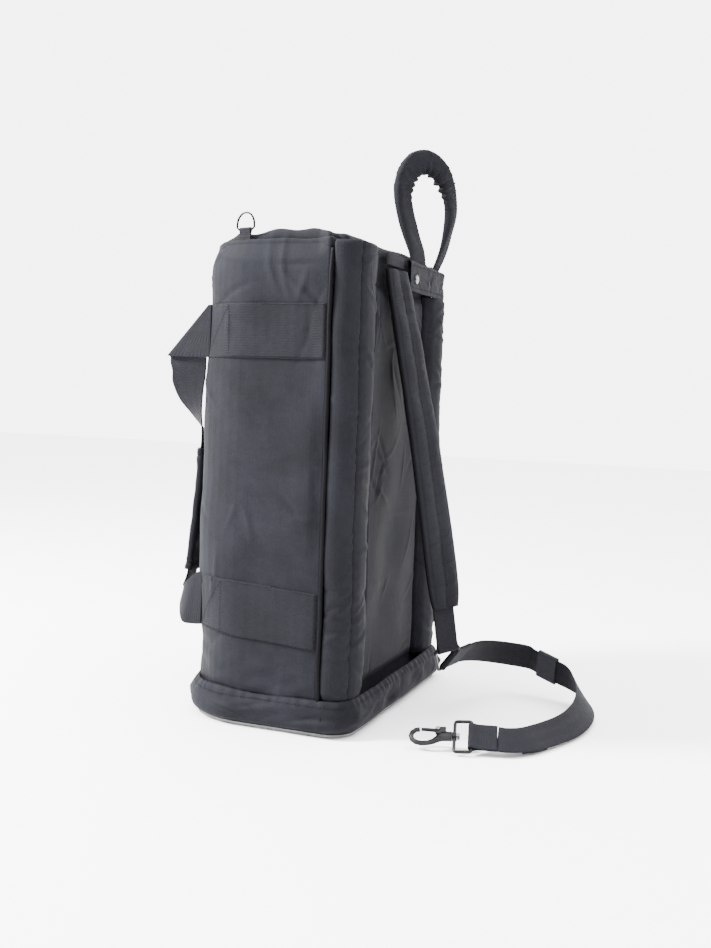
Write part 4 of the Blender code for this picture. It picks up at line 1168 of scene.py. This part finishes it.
def make_camera():
    roll = math.radians(CAMERA_ROLL)
    right = CAMERA_HEADING.cross(UP)
    rolled_right = right * math.cos(roll) + UP * math.sin(roll)
    rolled_top = UP * math.cos(roll) - right * math.sin(roll)
    rotation = Matrix((rolled_right, rolled_top, -CAMERA_HEADING)).transposed()
    data = bpy.data.cameras.new("camera")
    data.lens = LENS
    data.sensor_width = 36
    data.shift_x, data.shift_y = CAMERA_SHIFT
    camera = put("camera", data)
    camera.matrix_world = Matrix.Translation(CAMERA_AT) @ rotation.to_4x4()
    bpy.context.scene.camera = camera


def area_light(name, at, target, size, power):
    data = bpy.data.lights.new(name, "AREA")
    data.shape = "DISK"
    data.size = size
    data.energy = power
    light = put(name, data)
    light.location = at
    light.rotation_euler = (Vector(target) - Vector(at)).to_track_quat("-Z", "Y").to_euler()


def light_backdrop(tree):
    """A dim studio, a soft light overhead, and a brightly lit white backdrop behind the bag."""
    direction = tree.nodes.new("ShaderNodeTexCoord").outputs["Generated"]
    towards = tree.nodes.new("ShaderNodeVectorMath")
    towards.operation = "DOT_PRODUCT"
    towards.inputs[1].default_value = CAMERA_HEADING
    tree.links.new(direction, towards.inputs[0])
    backdrop = remap(tree, towards.outputs["Value"], ROOM_LIGHT, BACKDROP_LIGHT, 0.55, 0.86, "SMOOTHSTEP")
    height = tree.nodes.new("ShaderNodeSeparateXYZ")
    tree.links.new(direction, height.inputs["Vector"])
    overhead = remap(tree, height.outputs["Z"], 0, OVERHEAD_LIGHT, 0.5, 0.85, "SMOOTHSTEP")
    strength = combine(tree, "MAXIMUM", backdrop, overhead)
    background = tree.nodes["Background"]
    background.inputs["Color"].default_value = (1, 1, 1, 1)
    tree.links.new(strength, background.inputs["Strength"])


def make_stage():
    mesh = bpy.data.meshes.new("floor")
    mesh.from_pydata([(-6, -6, 0), (6, -6, 0), (6, 6, 0), (-6, 6, 0)], [], [(0, 1, 2, 3)])
    mesh.materials.append(hard("floor_paint", (0.93, 0.93, 0.93), 0.88, wear=0.01, grain=40, depth=0.0))
    floor = put("floor", mesh)
    floor.location.z = -FLOOR_GAP
    world = bpy.data.worlds.new("studio")
    world.use_nodes = True
    light_backdrop(world.node_tree)
    bpy.context.scene.world = world
    area_light("key", (-1.0, 1.9, 1.9), (-0.2, 0.05, 0.45), 0.6, KEY_LIGHT)
    area_light("back_fill", (0.3, -1.8, 1.3), (0.0, -0.1, 0.4), 0.8, BACK_LIGHT)


make_camera()
make_stage()
make_sling()
shell, top_edge, outline_normal = make_body()
make_rim(top_edge, outline_normal)
make_collar(top_edge, outline_normal)
make_boot()
make_centre_panel()
make_piping()
body_tree = finder(shell)
for label, sign in (("near", -1), ("far", 1)):
    make_back_pad(label, sign)
    make_bands(label, sign, body_tree)
    make_handle(label, sign)
make_far_hem()
make_haul_loop()
make_shoulder_strap()
make_small_pieces()
